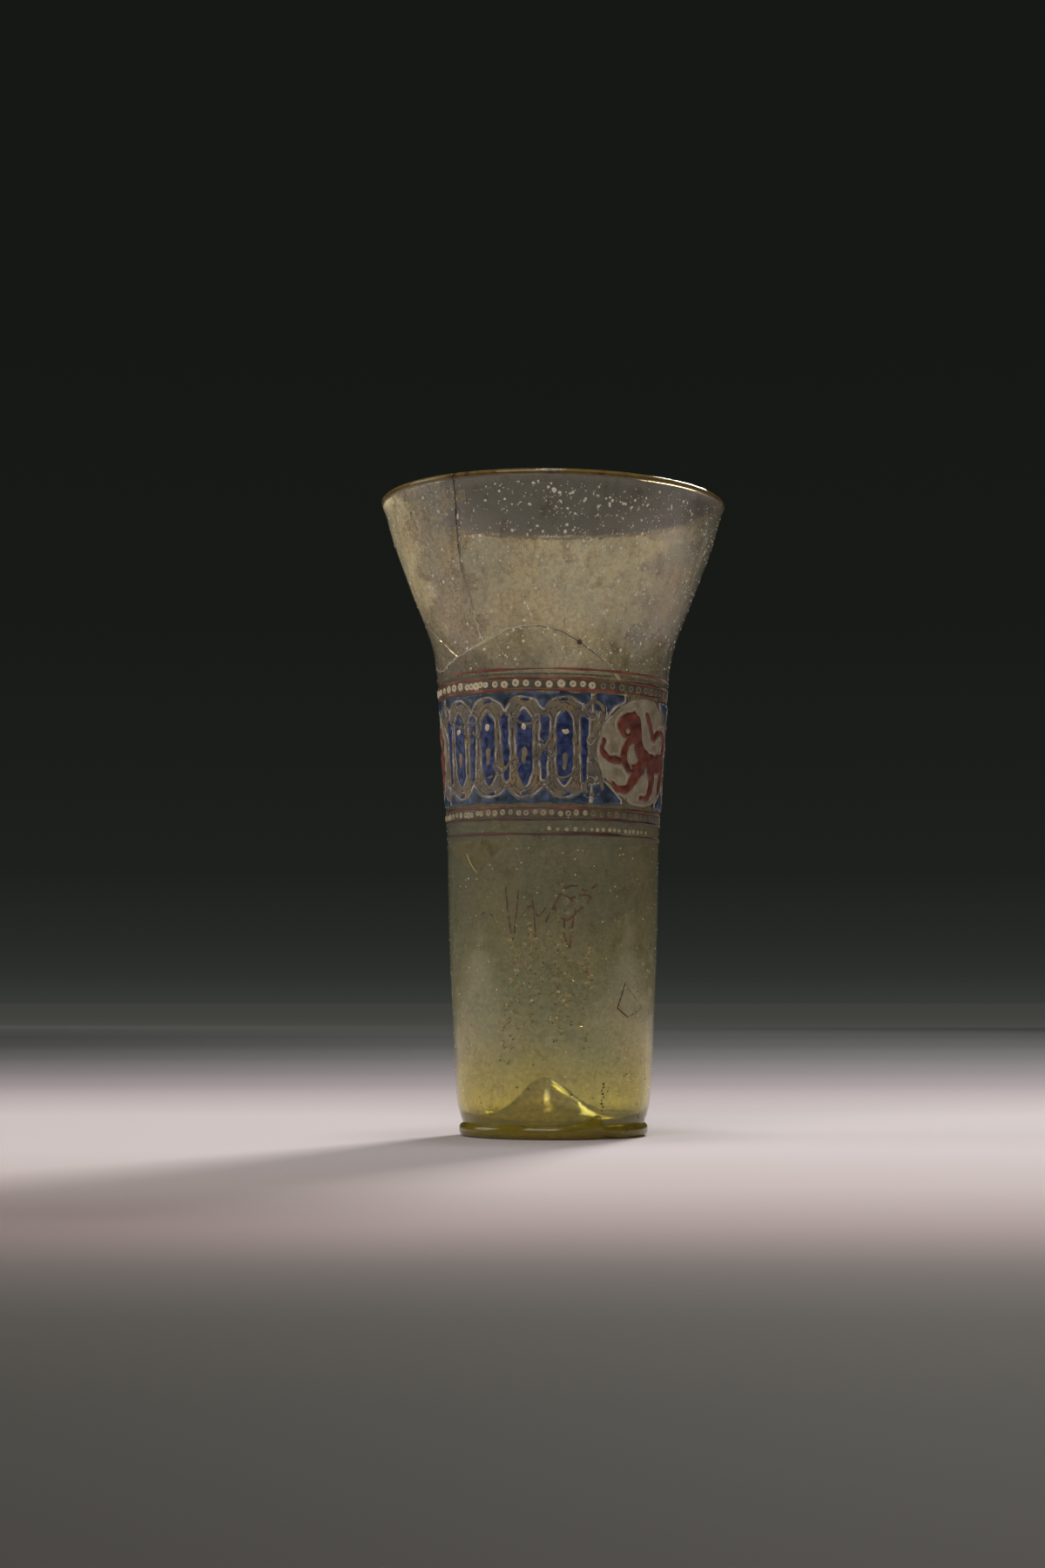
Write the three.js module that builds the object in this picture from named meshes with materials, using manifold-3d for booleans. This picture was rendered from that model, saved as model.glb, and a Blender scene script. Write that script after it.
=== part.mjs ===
// Blown glass beaker with a flared mouth, an applied foot trail and an enamelled and gilded frieze.
// Millimetres, +Z up, origin on the axis in the plane that the foot stands on.
// Azimuths are in degrees from the front (-Y) towards +X.

import * as THREE from 'three';
import { mergeVertices } from 'three/addons/utils/BufferGeometryUtils.js';
import Module from 'manifold-3d';

const wasm = await Module();
wasm.setup();

// Outline of the blown body: radii outside the wall, and the height of each stretch of it
const baseRadius = 22.3;
const neckOut = 1.9;
const neckRadius = baseRadius + neckOut;
const heelRadius = 25.75;
const lowerWallRadius = 26.7;
const middleRadius = 28.0;
const bandFootRadius = 28.5;
const bandMiddleRadius = 29.65;
const bandTopRadius = 31.4;
const kneeRadius = 33.0;
const flareRadius = 38.5;
const upperFlareRadius = 43.6;
const mouthRadius = 46.2;

const neckHeight = 3.4;
const heelRise = 5.8;
const lowerWallRise = 15.8;
const middleRise = 30.0;
const bandFootRise = 23.7;
const bandMiddleRise = 21.3;
const bandTopRise = 22.4;
const kneeRise = 9.2;
const flareRise = 14.2;
const upperFlareRise = 14.0;
const mouthRise = 9.1;

// Wall, rounded rim and pushed-in base
const lowerWall = 1.7;
const mouthWall = 1.2;
const rimThickness = 2.1;
const rimOverhang = 0.3;
const rimRise = 0.85;
const baseGlass = 1.9;
const kickHeight = 15.4;
const kickBluntness = 0.45;
const baseHeight = 1.9;
const floorCornerOut = 0.4;
const floorCornerRise = 1.6;

// The mouth and the painted lines lean down to the right by this angle, as the hand left them
const leanDegrees = 0.85;

// Foot trail: a wound thread whose end laps over its start in a tongue
const trailReach = 3.1;
const trailInset = 2.2;
const trailHeight = 4.0;
const trailSeatGap = 0.1;
const trailFlat = 0.55;
const tongueRise = 2.3;
const tongueThickness = 0.5;
const tongueStart = 8;
const tongueTip = 29;
const tongueEnd = 32;
const trailLiftHeight = 0.6;
const trailLiftMiddle = 34;
const trailLiftWidth = 7;

// Breaks: thickness of the old adhesive and the clearance left on each side of it
const adhesiveWidth = 0.5;
const crackWidth = 0.3;
const adhesiveGap = 0.08;

// Painted decoration: thickness of each layer and its clearance over the glass
const skinGap = 0.04;
const giltThickness = 0.15;
const blueThickness = 0.35;
const roundelThickness = 0.25;
const beastThickness = 0.25;
const lineThickness = 0.3;
const inlayGap = 0.12;

// Heights of the painted lines over the lowest one, and the width of each
const lowestLineHeight = 78.7;
const lowerBeadUnderLine = 3.9;
const lowerBeadOverLine = 6.8;
const friezeBottomOverLowest = 8.0;
const friezeHeight = 28.6;
const upperBeadUnderLine = 0.7;
const upperBeadOverLine = 2.9;
const topLineOverBeads = 2.3;
const redLineWidth = 0.7;

// Beads of white enamel on their gilt bands
const beadPitch = 2.85;
const beadRadius = 0.88;
const beadHeight = 0.4;

// Roundels, a little wider than high, and the beast painted on each
const roundelReach = 15.6;
const roundelRise = 14.05;
const roundelAzimuths = [53, -102];
const roundelGap = 0.3;

// Strapwork: number of bays in the front and back stretches, and the sizes of the blue fields
const frontBays = 4;
const backBays = 6;
const panelWidth = 4.4;
const panelHeight = 19.6;
const panelPoint = 4.5;
const slotTopWidth = 2.4;
const slotFootWidth = 1.5;
const slotHeight = 17.6;
const borderWidth = 0.8;
const pendantWidth = 4.6;
const pendantHeight = 3.2;
const cornerReach = 8.6;
const borderInset = 7;
const strapInset = 11;
const borderGap = 0.9;
const fieldMargin = 1;
const pointGrowth = 3;

const segments = 28;
const rad = Math.PI / 180;
const cutOutside = 8;
const cutInside = 6;

// Heights worked out from the stretches above
const heelHeight = neckHeight + heelRise;
const lowerWallHeight = heelHeight + lowerWallRise;
const middleHeight = lowerWallHeight + middleRise;
const bandFootHeight = middleHeight + bandFootRise;
const bandMiddleHeight = bandFootHeight + bandMiddleRise;
const bandTopHeight = bandMiddleHeight + bandTopRise;
const kneeHeight = bandTopHeight + kneeRise;
const flareHeight = kneeHeight + flareRise;
const upperFlareHeight = flareHeight + upperFlareRise;
const mouthHeight = upperFlareHeight + mouthRise;
const trailOuterRadius = baseRadius + trailReach;
const trailInnerRadius = baseRadius - trailInset;

const outline = [
  [neckHeight, neckRadius],
  [heelHeight, heelRadius],
  [lowerWallHeight, lowerWallRadius],
  [middleHeight, middleRadius],
  [bandFootHeight, bandFootRadius],
  [bandMiddleHeight, bandMiddleRadius],
  [bandTopHeight, bandTopRadius],
  [kneeHeight, kneeRadius],
  [flareHeight, flareRadius],
  [upperFlareHeight, upperFlareRadius],
  [mouthHeight, mouthRadius]
];

// Slope of the outline at a station, from the stations on both sides of it
function outlineSlope(index) {
  const before = outline[Math.max(index - 1, 0)];
  const after = outline[Math.min(index + 1, outline.length - 1)];
  return (after[1] - before[1]) / (after[0] - before[0]);
}

// Outside radius of the blown curve at a height: a smooth cubic through the stations
function blownRadius(height) {
  let index = 0;
  while (index < outline.length - 2 && height > outline[index + 1][0]) index += 1;
  const [z0, r0] = outline[index];
  const [z1, r1] = outline[index + 1];
  const span = z1 - z0;
  const t = THREE.MathUtils.clamp((height - z0) / span, 0, 1);
  const rise = (3 - 2 * t) * t * t;
  const lead = t * (1 - t) * (1 - t);
  const trail = t * t * (t - 1);
  return r0 + (r1 - r0) * rise + span * (outlineSlope(index) * lead + outlineSlope(index + 1) * trail);
}

// Rings of the wall's facets: the number of steps taken over each stretch of it
const wallStretches = [
  { bottom: neckHeight, top: heelHeight, steps: 2 },
  { bottom: heelHeight, top: bandFootHeight, steps: 4 },
  { bottom: bandFootHeight, top: bandTopHeight, steps: 2 },
  { bottom: bandTopHeight, top: mouthHeight, steps: 6 }
];
const wallRings = wallStretches.flatMap(({ bottom, top, steps }) => {
  return Array.from({ length: steps }, (_, step) => THREE.MathUtils.lerp(bottom, top, step / steps));
});
wallRings.push(mouthHeight);

// Outside radius of the wall as built, straight between its rings
function wallRadius(height) {
  let index = 0;
  while (index < wallRings.length - 2 && height > wallRings[index + 1]) index += 1;
  const [below, above] = [wallRings[index], wallRings[index + 1]];
  const t = THREE.MathUtils.clamp((height - below) / (above - below), 0, 1);
  return THREE.MathUtils.lerp(blownRadius(below), blownRadius(above), t);
}

// A closed three.js geometry becomes a solid once its shared vertices are merged
function toSolid(geometry) {
  const bare = geometry.clone();
  bare.deleteAttribute('normal');
  bare.deleteAttribute('uv');
  const merged = mergeVertices(bare, 1e-5);
  const vertProperties = new Float32Array(merged.attributes.position.array);
  const triVerts = new Uint32Array(merged.index.array);
  return new wasm.Manifold(new wasm.Mesh({ numProp: 3, vertProperties, triVerts }));
}

// A profile of [radius, height] points, turned round the vertical axis
function turned(profile) {
  const points = profile.map(([radius, height]) => new THREE.Vector2(radius, height));
  const geometry = new THREE.LatheGeometry(points, segments);
  geometry.rotateX(Math.PI / 2);
  return toSolid(geometry);
}

// A section of [radius, height] points carried through the azimuths, closed on itself or capped
function carried(azimuths, sectionAt, closed) {
  const positions = [];
  const indices = [];
  azimuths.forEach((azimuth) => {
    sectionAt(azimuth).forEach(([radius, height]) => {
      positions.push(radius * Math.sin(azimuth * rad), -radius * Math.cos(azimuth * rad), height);
    });
  });
  const count = sectionAt(azimuths[0]).length;
  const rings = azimuths.length;
  const lastRing = closed ? rings : rings - 1;
  for (let ring = 0; ring < lastRing; ring += 1) {
    const here = ring * count;
    const next = ((ring + 1) % rings) * count;
    for (let point = 0; point < count; point += 1) {
      const after = (point + 1) % count;
      indices.push(here + point, next + point, next + after);
      indices.push(here + point, next + after, here + after);
    }
  }
  if (!closed) {
    const end = (rings - 1) * count;
    for (let point = 1; point < count - 1; point += 1) {
      indices.push(0, point, point + 1);
      indices.push(end, end + point + 1, end + point);
    }
  }
  const geometry = new THREE.BufferGeometry();
  geometry.setAttribute('position', new THREE.Float32BufferAttribute(positions, 3));
  geometry.setIndex(indices);
  return toSolid(geometry);
}

const roundTheAxis = Array.from({ length: segments }, (_, index) => index * 360 / segments);

// Section of a painted layer between two heights. Facets of their own width stand clear of the wall.
function layerSection(bottom, top, lift, thickness, facet) {
  const clear = 1 / Math.cos(facet / 2 * rad);
  const low = (wallRadius(bottom) + skinGap + lift) * clear;
  const high = (wallRadius(top) + skinGap + lift) * clear;
  return [
    [low + thickness, bottom],
    [high + thickness, top],
    [high, top],
    [low, bottom]
  ];
}

// A flat shape, x in degrees of azimuth and y in height, wrapped round the wall as a deep cutter
function radialCutter(shape, curveSegments = 6) {
  const geometry = new THREE.ExtrudeGeometry(shape, { depth: 1, bevelEnabled: false, curveSegments });
  const position = geometry.attributes.position;
  for (let index = 0; index < position.count; index += 1) {
    const azimuth = position.getX(index) * rad;
    const height = position.getY(index);
    const radius = wallRadius(height) + (position.getZ(index) > 0.5 ? cutOutside : -cutInside);
    position.setXYZ(index, radius * Math.sin(azimuth), -radius * Math.cos(azimuth), height);
  }
  return toSolid(geometry);
}

function joined(solids) {
  return solids.reduce((whole, solid) => whole.add(solid));
}

// Degrees of azimuth that a distance in millimetres takes on the wall at a height
function degreesAt(distance, height) {
  return distance / (wallRadius(height) * rad);
}

function ovalShape(azimuth, height, reach, rise) {
  const shape = new THREE.Shape();
  shape.absellipse(azimuth, height, degreesAt(reach, height), rise, 0, 2 * Math.PI, false, 0);
  return shape;
}

// Brush stroke along a curve of [azimuth, height] points, with its own width at each end
function strokeShape(points, startWidth, endWidth, steps) {
  const curve = new THREE.SplineCurve(points.map(([azimuth, height]) => new THREE.Vector2(azimuth, height)));
  const left = [];
  const right = [];
  for (let step = 0; step <= steps; step += 1) {
    const t = step / steps;
    const middle = curve.getPoint(t);
    const degree = wallRadius(middle.y) * rad;
    const along = curve.getTangent(t);
    const length = Math.hypot(along.x * degree, along.y);
    const half = THREE.MathUtils.lerp(startWidth, endWidth, t) / 2;
    const aside = new THREE.Vector2(-along.y / length / degree, along.x * degree / length);
    left.push(middle.clone().addScaledVector(aside, half));
    right.unshift(middle.clone().addScaledVector(aside, -half));
  }
  return new THREE.Shape([...right, ...left].reverse());
}

// Blown body, turned whole before the breaks are cut from it
function wallAt(height) {
  const t = THREE.MathUtils.clamp((height - neckHeight) / (mouthHeight - neckHeight), 0, 1);
  return THREE.MathUtils.lerp(lowerWall, mouthWall, t);
}

// Rise of the kick over its foot: between a cone and a bell, from its blunt tip on the axis outwards
function kickRise(radius) {
  const share = radius / baseRadius;
  const bell = (1 + Math.cos(Math.PI * share)) / 2;
  return (kickHeight - baseGlass - baseHeight) * THREE.MathUtils.lerp(1 - share, bell, kickBluntness);
}

const kickShares = [0, 0.1, 0.3, 0.64, 0.92];

// Underside of the kick, out to the ring that the body stands on
function kickUnderside(drop) {
  return [...kickShares, 1].map((share) => {
    const radius = share * baseRadius;
    return [radius, baseHeight + kickRise(radius) - drop];
  });
}

// Fire-rounded lip, from its outside over the top to its inside
function lipProfile() {
  const half = rimThickness / 2;
  const middleRadius = mouthRadius - mouthWall / 2 + rimOverhang;
  const middleHeight = mouthHeight + rimRise;
  return [-20, 35, 90, 145, 200].map((turn) => {
    return [middleRadius + half * Math.cos(turn * rad), middleHeight + half * Math.sin(turn * rad)];
  });
}

// Floor inside, from the foot of the wall up the kick to its tip
function floorProfile() {
  const floorFoot = baseHeight + baseGlass;
  const floor = kickShares.map((share) => [share * baseRadius, floorFoot + kickRise(share * baseRadius)]);
  return [[baseRadius + floorCornerOut, floorFoot + floorCornerRise], ...floor.reverse()];
}

function bodyProfile() {
  const outside = wallRings.map((height) => [wallRadius(height), height]);
  const insideRings = [heelHeight, middleHeight, ...wallRings.filter((height) => height > middleHeight)];
  const inside = insideRings.map((height) => [wallRadius(height) - wallAt(height), height]);
  return [...kickUnderside(0), ...outside, ...lipProfile(), ...inside.reverse(), ...floorProfile()];
}

const wholeBody = turned(bodyProfile());

// Breaks in the wall, as curves of [azimuth, share of the height from the band's top to the mouth]. The
// long one comes down from the rim at the back, arches over the front and runs out in the band, below its
// top. The others branch from it.
const overRim = 1.1;
const junction = [-35, 0.135];
const fork = [-53, 0.067];
const meeting = [-97, 0.317];
const backOfArch = [[-112, overRim], [-106, 0.62], meeting, [-88, 0.11], [-73, 0.013]];
const frontOfArch = [[-24, 0.187], [-9, 0.213], [4, 0.187], [20, 0.078], [32, -0.03], [40, -0.165]];
const longBreak = [...backOfArch, fork, junction, ...frontOfArch];
const rimJoin = [[-33, overRim], [-34.5, 0.85], [-37.3, 0.578], [-37.2, 0.317], junction];
const shortCrack = [fork, [-62, 0.141], [-79, 0.274], meeting];

function onFlare([azimuth, share]) {
  return [azimuth, THREE.MathUtils.lerp(bandTopHeight, mouthHeight, share)];
}

const breaks = [
  { route: longBreak, start: adhesiveWidth, end: crackWidth, steps: 20 },
  { route: rimJoin, start: adhesiveWidth, end: adhesiveWidth, steps: 5 },
  { route: shortCrack, start: crackWidth, end: crackWidth, steps: 4 }
];

function breakCutters(extra) {
  return joined(breaks.map(({ route, start, end, steps }) => {
    return radialCutter(strokeShape(route.map(onFlare), start + extra, end + extra, steps));
  }));
}

// Cutting along the breaks parts the body into itself and its two fragments, largest first
const parted = wholeBody.subtract(breakCutters(2 * adhesiveGap)).decompose();
parted.sort((one, other) => other.volume() - one.volume());
const [blownBody, rimShard, shoulderShard] = parted;
const joinAdhesive = wholeBody.intersect(breakCutters(0));

// Foot trail: its section swells and lifts round the base, then is cut to seat on the body
function tongueAt(azimuth) {
  if (azimuth < tongueStart || azimuth > tongueEnd) return 0;
  if (azimuth <= tongueTip) return THREE.MathUtils.smoothstep(azimuth, tongueStart, tongueTip);
  return (tongueEnd - azimuth) / (tongueEnd - tongueTip);
}

// Rounded section of the thread. At the tongue its upper edge reaches out over the wall and up it.
function trailSection(azimuth) {
  const share = tongueAt(azimuth);
  const bottom = trailLiftHeight * Math.exp(-(((azimuth - trailLiftMiddle) / trailLiftWidth) ** 2));
  const top = trailHeight + tongueRise * share;
  const middleRadius = (trailInnerRadius + trailOuterRadius) / 2;
  const half = (trailOuterRadius - trailInnerRadius) / 2;
  const outer = trailOuterRadius + tongueThickness * share;
  const flatOuter = middleRadius + half * trailFlat;
  const topOuter = THREE.MathUtils.lerp(flatOuter, wallRadius(top) + tongueThickness, share);
  const level = (side) => (top + bottom) / 2 + side * (top - bottom) / 2;
  return [
    [middleRadius - half * trailFlat, bottom],
    [flatOuter, bottom],
    [outer, level(-trailFlat)],
    [outer, level(trailFlat)],
    [topOuter, top],
    [middleRadius - half * trailFlat, top],
    [trailInnerRadius, level(trailFlat)],
    [trailInnerRadius, level(-trailFlat)]
  ];
}

const trailAzimuths = [...roundTheAxis, tongueTip, tongueEnd, trailLiftMiddle].sort((a, b) => a - b);
const seatTop = kickHeight + heelHeight;
const seatHeights = [...wallRings.filter((height) => height <= heelHeight), seatTop];
const seatWall = seatHeights.map((height) => [wallRadius(height) + trailSeatGap, height]);
const trailSeat = turned([...kickUnderside(trailSeatGap), ...seatWall, [0, seatTop]]);
const footTrail = carried(trailAzimuths, trailSection, true).subtract(trailSeat);

// Painted lines and bead bands: rings that lie on the wall
function paintedLine(height) {
  const half = redLineWidth / 2;
  const section = [
    [wallRadius(height - half) + skinGap, height - half],
    [wallRadius(height) + skinGap + lineThickness, height],
    [wallRadius(height + half) + skinGap, height + half]
  ];
  return carried(roundTheAxis, () => section, true);
}

// Ring of gilding with a bead of enamel standing on each of its facets
function beadBand(bottom, top) {
  const inset = redLineWidth / 2 + inlayGap;
  const middle = (bottom + top) / 2;
  const count = Math.round(2 * Math.PI * wallRadius(middle) / beadPitch);
  const facet = 360 / count;
  const section = layerSection(bottom + inset, top - inset, 0, giltThickness, facet);
  const [low, high, highInside, lowInside] = section.map(([radius]) => radius);
  const half = (top - bottom) / 2 - inset;
  const positions = [];
  const indices = [];
  const place = (azimuth, radius, height) => {
    positions.push(radius * Math.sin(azimuth * rad), -radius * Math.cos(azimuth * rad), height);
  };
  const beadSides = 6;
  const perFacet = 4 + beadSides + 1;
  for (let index = 0; index < count; index += 1) {
    const azimuth = index * facet;
    place(azimuth, low, middle - half);
    place(azimuth, high, middle + half);
    place(azimuth, highInside, middle + half);
    place(azimuth, lowInside, middle - half);
    const centre = azimuth + facet / 2;
    const flat = Math.cos(facet / 2 * rad);
    const slope = (high - low) * flat / (2 * half);
    const face = (high + low) / 2 * flat;
    for (let side = 0; side < beadSides; side += 1) {
      const turn = (side + 0.5) * 2 * Math.PI / beadSides;
      const up = beadRadius * Math.sin(turn);
      const radius = face + slope * up;
      const aside = Math.atan2(beadRadius * Math.cos(turn), radius) / rad;
      place(centre + aside, radius / Math.cos(aside * rad), middle + up);
    }
    place(centre, face + beadHeight, middle);
  }
  for (let index = 0; index < count; index += 1) {
    const here = index * perFacet;
    const next = ((index + 1) % count) * perFacet;
    const ring = Array.from({ length: beadSides }, (_, side) => here + 4 + side);
    const tip = here + 4 + beadSides;
    const [right, topRight, topLeft, left, bottomLeft, bottomRight] = ring;
    indices.push(next, next + 1, right);
    indices.push(next + 1, topRight, right);
    indices.push(next + 1, topLeft, topRight);
    indices.push(next + 1, here + 1, topLeft);
    indices.push(here + 1, left, topLeft);
    indices.push(here + 1, here, left);
    indices.push(here, bottomLeft, left);
    indices.push(here, bottomRight, bottomLeft);
    indices.push(here, next, bottomRight);
    indices.push(next, right, bottomRight);
    ring.forEach((corner, side) => indices.push(corner, ring[(side + 1) % beadSides], tip));
    [[1, 2], [2, 3], [3, 0]].forEach(([from, to]) => {
      indices.push(here + from, next + from, next + to);
      indices.push(here + from, next + to, here + to);
    });
  }
  const geometry = new THREE.BufferGeometry();
  geometry.setAttribute('position', new THREE.Float32BufferAttribute(positions, 3));
  geometry.setIndex(indices);
  return toSolid(geometry);
}

const friezeBottom = lowestLineHeight + friezeBottomOverLowest;
const friezeTop = friezeBottom + friezeHeight;
const friezeMiddle = (friezeBottom + friezeTop) / 2;
const upperUnderLine = friezeTop + upperBeadUnderLine;
const upperOverLine = upperUnderLine + upperBeadOverLine;

const lineHeights = [
  upperOverLine + topLineOverBeads,
  upperOverLine,
  upperUnderLine,
  lowestLineHeight + lowerBeadOverLine,
  lowestLineHeight + lowerBeadUnderLine,
  lowestLineHeight
];

// Frieze: places on it are given in millimetres along the wall from an azimuth
function along(azimuth, distance) {
  return azimuth + degreesAt(distance, friezeMiddle);
}

function friezeLayer(azimuths, inset, thickness, lift, facet, closed) {
  const section = layerSection(friezeBottom + inset, friezeTop - inset, lift, thickness, facet);
  return carried(azimuths, () => section, closed);
}

// Flat field of enamel on its own facet of the frieze, drawn round its middle with x along and y up
function fieldSolid(shape, azimuth, base, thickness) {
  const settings = { depth: thickness, bevelEnabled: false, curveSegments: 2 };
  const geometry = new THREE.ExtrudeGeometry(shape, settings);
  const across = new THREE.Vector3(Math.cos(azimuth * rad), Math.sin(azimuth * rad), 0);
  const flare = wallRadius(friezeTop) - wallRadius(friezeBottom);
  const outward = new THREE.Vector3(Math.sin(azimuth * rad), -Math.cos(azimuth * rad), 0);
  const up = new THREE.Vector3(0, 0, friezeHeight).addScaledVector(outward, flare).normalize();
  const normal = new THREE.Vector3().crossVectors(across, up);
  const reach = (wallRadius(friezeTop) + wallRadius(friezeBottom)) / 2 + skinGap;
  const middle = new THREE.Vector3(outward.x * reach, outward.y * reach, friezeMiddle);
  middle.addScaledVector(normal, base);
  geometry.applyMatrix4(new THREE.Matrix4().makeBasis(across, up, normal).setPosition(middle));
  return toSolid(geometry);
}

// Fields grow at their sides by the gap round them, and at their points by more, which keeps it even
function panelShape(grow) {
  const side = panelWidth / 2 + grow;
  const reach = panelHeight / 2 - panelPoint;
  const tip = panelHeight / 2 + pointGrowth * grow;
  const shape = new THREE.Shape();
  shape.moveTo(0, -tip);
  shape.quadraticCurveTo(side, -reach - panelPoint / 2, side, -reach);
  shape.lineTo(side, reach);
  shape.quadraticCurveTo(side, reach + panelPoint / 2, 0, tip);
  shape.quadraticCurveTo(-side, reach + panelPoint / 2, -side, reach);
  shape.lineTo(-side, -reach);
  shape.quadraticCurveTo(-side, -reach - panelPoint / 2, 0, -tip);
  return shape;
}

function slotShape(grow) {
  const top = slotTopWidth / 2 + grow;
  const foot = slotFootWidth / 2 + grow;
  const reach = (slotHeight - slotTopWidth) / 2;
  const shape = new THREE.Shape();
  shape.moveTo(foot, -reach);
  shape.lineTo(top, reach);
  shape.quadraticCurveTo(0, reach + 2 * top, -top, reach);
  shape.lineTo(-foot, -reach);
  shape.quadraticCurveTo(0, -reach - 2 * foot, foot, -reach);
  return shape;
}

// Pendant that hangs from the top border or stands on the bottom one
function pendantShape(azimuth, side, grow) {
  const half = degreesAt(pendantWidth / 2 + grow, friezeMiddle);
  const base = friezeMiddle + side * (friezeHeight / 2 - borderWidth / 2);
  const tip = base - side * (borderWidth / 2 + pendantHeight + pointGrowth * grow);
  return new THREE.Shape([
    new THREE.Vector2(azimuth - half, base),
    new THREE.Vector2(azimuth, tip),
    new THREE.Vector2(azimuth + half, base)
  ]);
}

function stripShape(azimuths, side, grow) {
  const outer = friezeMiddle + side * friezeHeight;
  const inner = friezeMiddle + side * (friezeHeight / 2 - borderWidth - grow);
  const there = azimuths.map((azimuth) => new THREE.Vector2(azimuth, outer));
  const back = azimuths.map((azimuth) => new THREE.Vector2(azimuth, inner)).reverse();
  return new THREE.Shape([...there, ...back]);
}

// Triangular field in the corner between a roundel and a border
function cornerShape(azimuth, towards, side, grow) {
  const outer = friezeMiddle + side * (friezeHeight / 2 - borderWidth / 2);
  const inner = friezeMiddle + side * (friezeHeight / 2 - cornerReach - grow);
  const start = along(azimuth, towards * (borderInset + fieldMargin - grow));
  const end = along(azimuth, towards * (roundelReach + fieldMargin + grow));
  return new THREE.Shape([
    new THREE.Vector2(start, outer),
    new THREE.Vector2(end, outer),
    new THREE.Vector2(end, (outer + inner) / 2),
    new THREE.Vector2(start, inner)
  ]);
}

const stretches = [
  { name: 'front', from: roundelAzimuths[1], to: roundelAzimuths[0], bays: frontBays },
  { name: 'back', from: roundelAzimuths[0], to: roundelAzimuths[1] + 360, bays: backBays }
];

function roundelCutter(azimuth, extra) {
  return radialCutter(ovalShape(azimuth, friezeMiddle, roundelReach + extra, roundelRise + extra), 12);
}

// Bays of a stretch: a slot and a panel in each and a slot to end on, each in a facet of its own
function bayFields(stretch) {
  const start = along(stretch.from, roundelReach + fieldMargin);
  const end = along(stretch.to, -roundelReach - fieldMargin);
  const facet = (end - start) / (2 * stretch.bays + 1);
  const panels = [];
  const slots = [];
  for (let bay = 0; bay <= stretch.bays; bay += 1) {
    slots.push(start + facet * (2 * bay + 0.5));
    if (bay < stretch.bays) panels.push(start + facet * (2 * bay + 1.5));
  }
  return { panels, slots, facet, start };
}

// Azimuths of a stretch's facets, out to a distance from the middle of the roundels at its ends
function stretchAzimuths(stretch, inset) {
  const { facet, start } = bayFields(stretch);
  const first = along(stretch.from, inset);
  const last = along(stretch.to, -inset);
  const inner = [];
  for (let azimuth = start - Math.floor((start - first) / facet) * facet; azimuth < last; azimuth += facet) {
    if (azimuth > first && last - azimuth > facet / 10) inner.push(azimuth);
  }
  return [first, ...inner, last];
}

function pendantCutters(stretch, side, grow) {
  const { slots } = bayFields(stretch);
  const pendants = slots.slice(1, -1).map((azimuth) => radialCutter(pendantShape(azimuth, side, grow)));
  const corners = [
    radialCutter(cornerShape(stretch.from, 1, side, grow)),
    radialCutter(cornerShape(stretch.to, -1, side, grow))
  ];
  return joined([...pendants, ...corners]);
}

function borderCutter(stretch, side) {
  const strip = radialCutter(stripShape(stretchAzimuths(stretch, borderInset), side, 0));
  const rounds = [stretch.from, stretch.to].map((azimuth) => roundelCutter(azimuth, borderGap));
  return strip.add(pendantCutters(stretch, side, 0)).subtract(joined(rounds));
}

// The beast of a roundel, drawn with brush strokes in millimetres from the roundel's middle
const drawnRoundelRadius = 15.76;
const beastReach = roundelReach / drawnRoundelRadius;
const beastRise = roundelRise / drawnRoundelRadius;
const beastStrokes = [
  { route: [[-3.2, 9.2], [-2.9, 5], [-2.0, 0.8], [2, -2.4], [7, -2.8], [11, -1.6]], widths: [2.8, 6.4] },
  { route: [[-3.3, 5], [-6.8, 1.6], [-7.4, -2.2], [-5, -5.2], [-1, -5]], widths: [2.0, 3.4] },
  { route: [[-1, -4.4], [-3.8, -8], [-5.8, -10.9], [-9, -11.5], [-11, -10]], widths: [4.2, 1.2] },
  { route: [[3.4, -4], [4.6, -7], [4.3, -10.4], [2.4, -13.2], [-0.6, -13.6]], widths: [4.4, 1.2] },
  { route: [[10.4, -2.4], [11.8, -5.6], [10.2, -8.6], [9.4, -11.2]], widths: [4.6, 1.4] },
  { route: [[11, -1], [13, 3.4], [10.6, 7], [7, 6.2], [4.6, 4.6], [3, 7.2], [0.8, 11]], widths: [2.2, 1.7] }
];
const pawStroke = { route: [[-13.9, 2.6], [-14.6, -0.2], [-12.6, -2.6], [-9.4, -3]], widths: [1.3, 2.2] };
const headMiddle = [-6.6, 7.3];
const headRadius = 3.5;
const earTips = [[-7.2, 9.6], [-4.4, 12.2], [-2.4, 8.8]];

function onRoundel(azimuth, [across, up]) {
  return [along(azimuth, across * beastReach), friezeMiddle + up * beastRise];
}

function beastStroke(azimuth, { route, widths }) {
  const [start, end] = widths;
  const points = route.map((point) => onRoundel(azimuth, point));
  return radialCutter(strokeShape(points, start * beastRise, end * beastRise, points.length - 1));
}

function beastCutter(azimuth) {
  const [headAzimuth, headHeight] = onRoundel(azimuth, headMiddle);
  const head = radialCutter(
    ovalShape(headAzimuth, headHeight, headRadius * beastReach, headRadius * beastRise),
    4
  );
  const earPoints = earTips.map((tip) => new THREE.Vector2(...onRoundel(azimuth, tip)));
  const ear = radialCutter(new THREE.Shape(earPoints));
  return joined([head, ear, ...beastStrokes.map((stroke) => beastStroke(azimuth, stroke))]);
}

// Colours of the glass and of each layer
function finish(color, roughness, metalness, opacity) {
  return new THREE.MeshStandardMaterial({ color, roughness, metalness, opacity, transparent: opacity < 1 });
}

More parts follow.
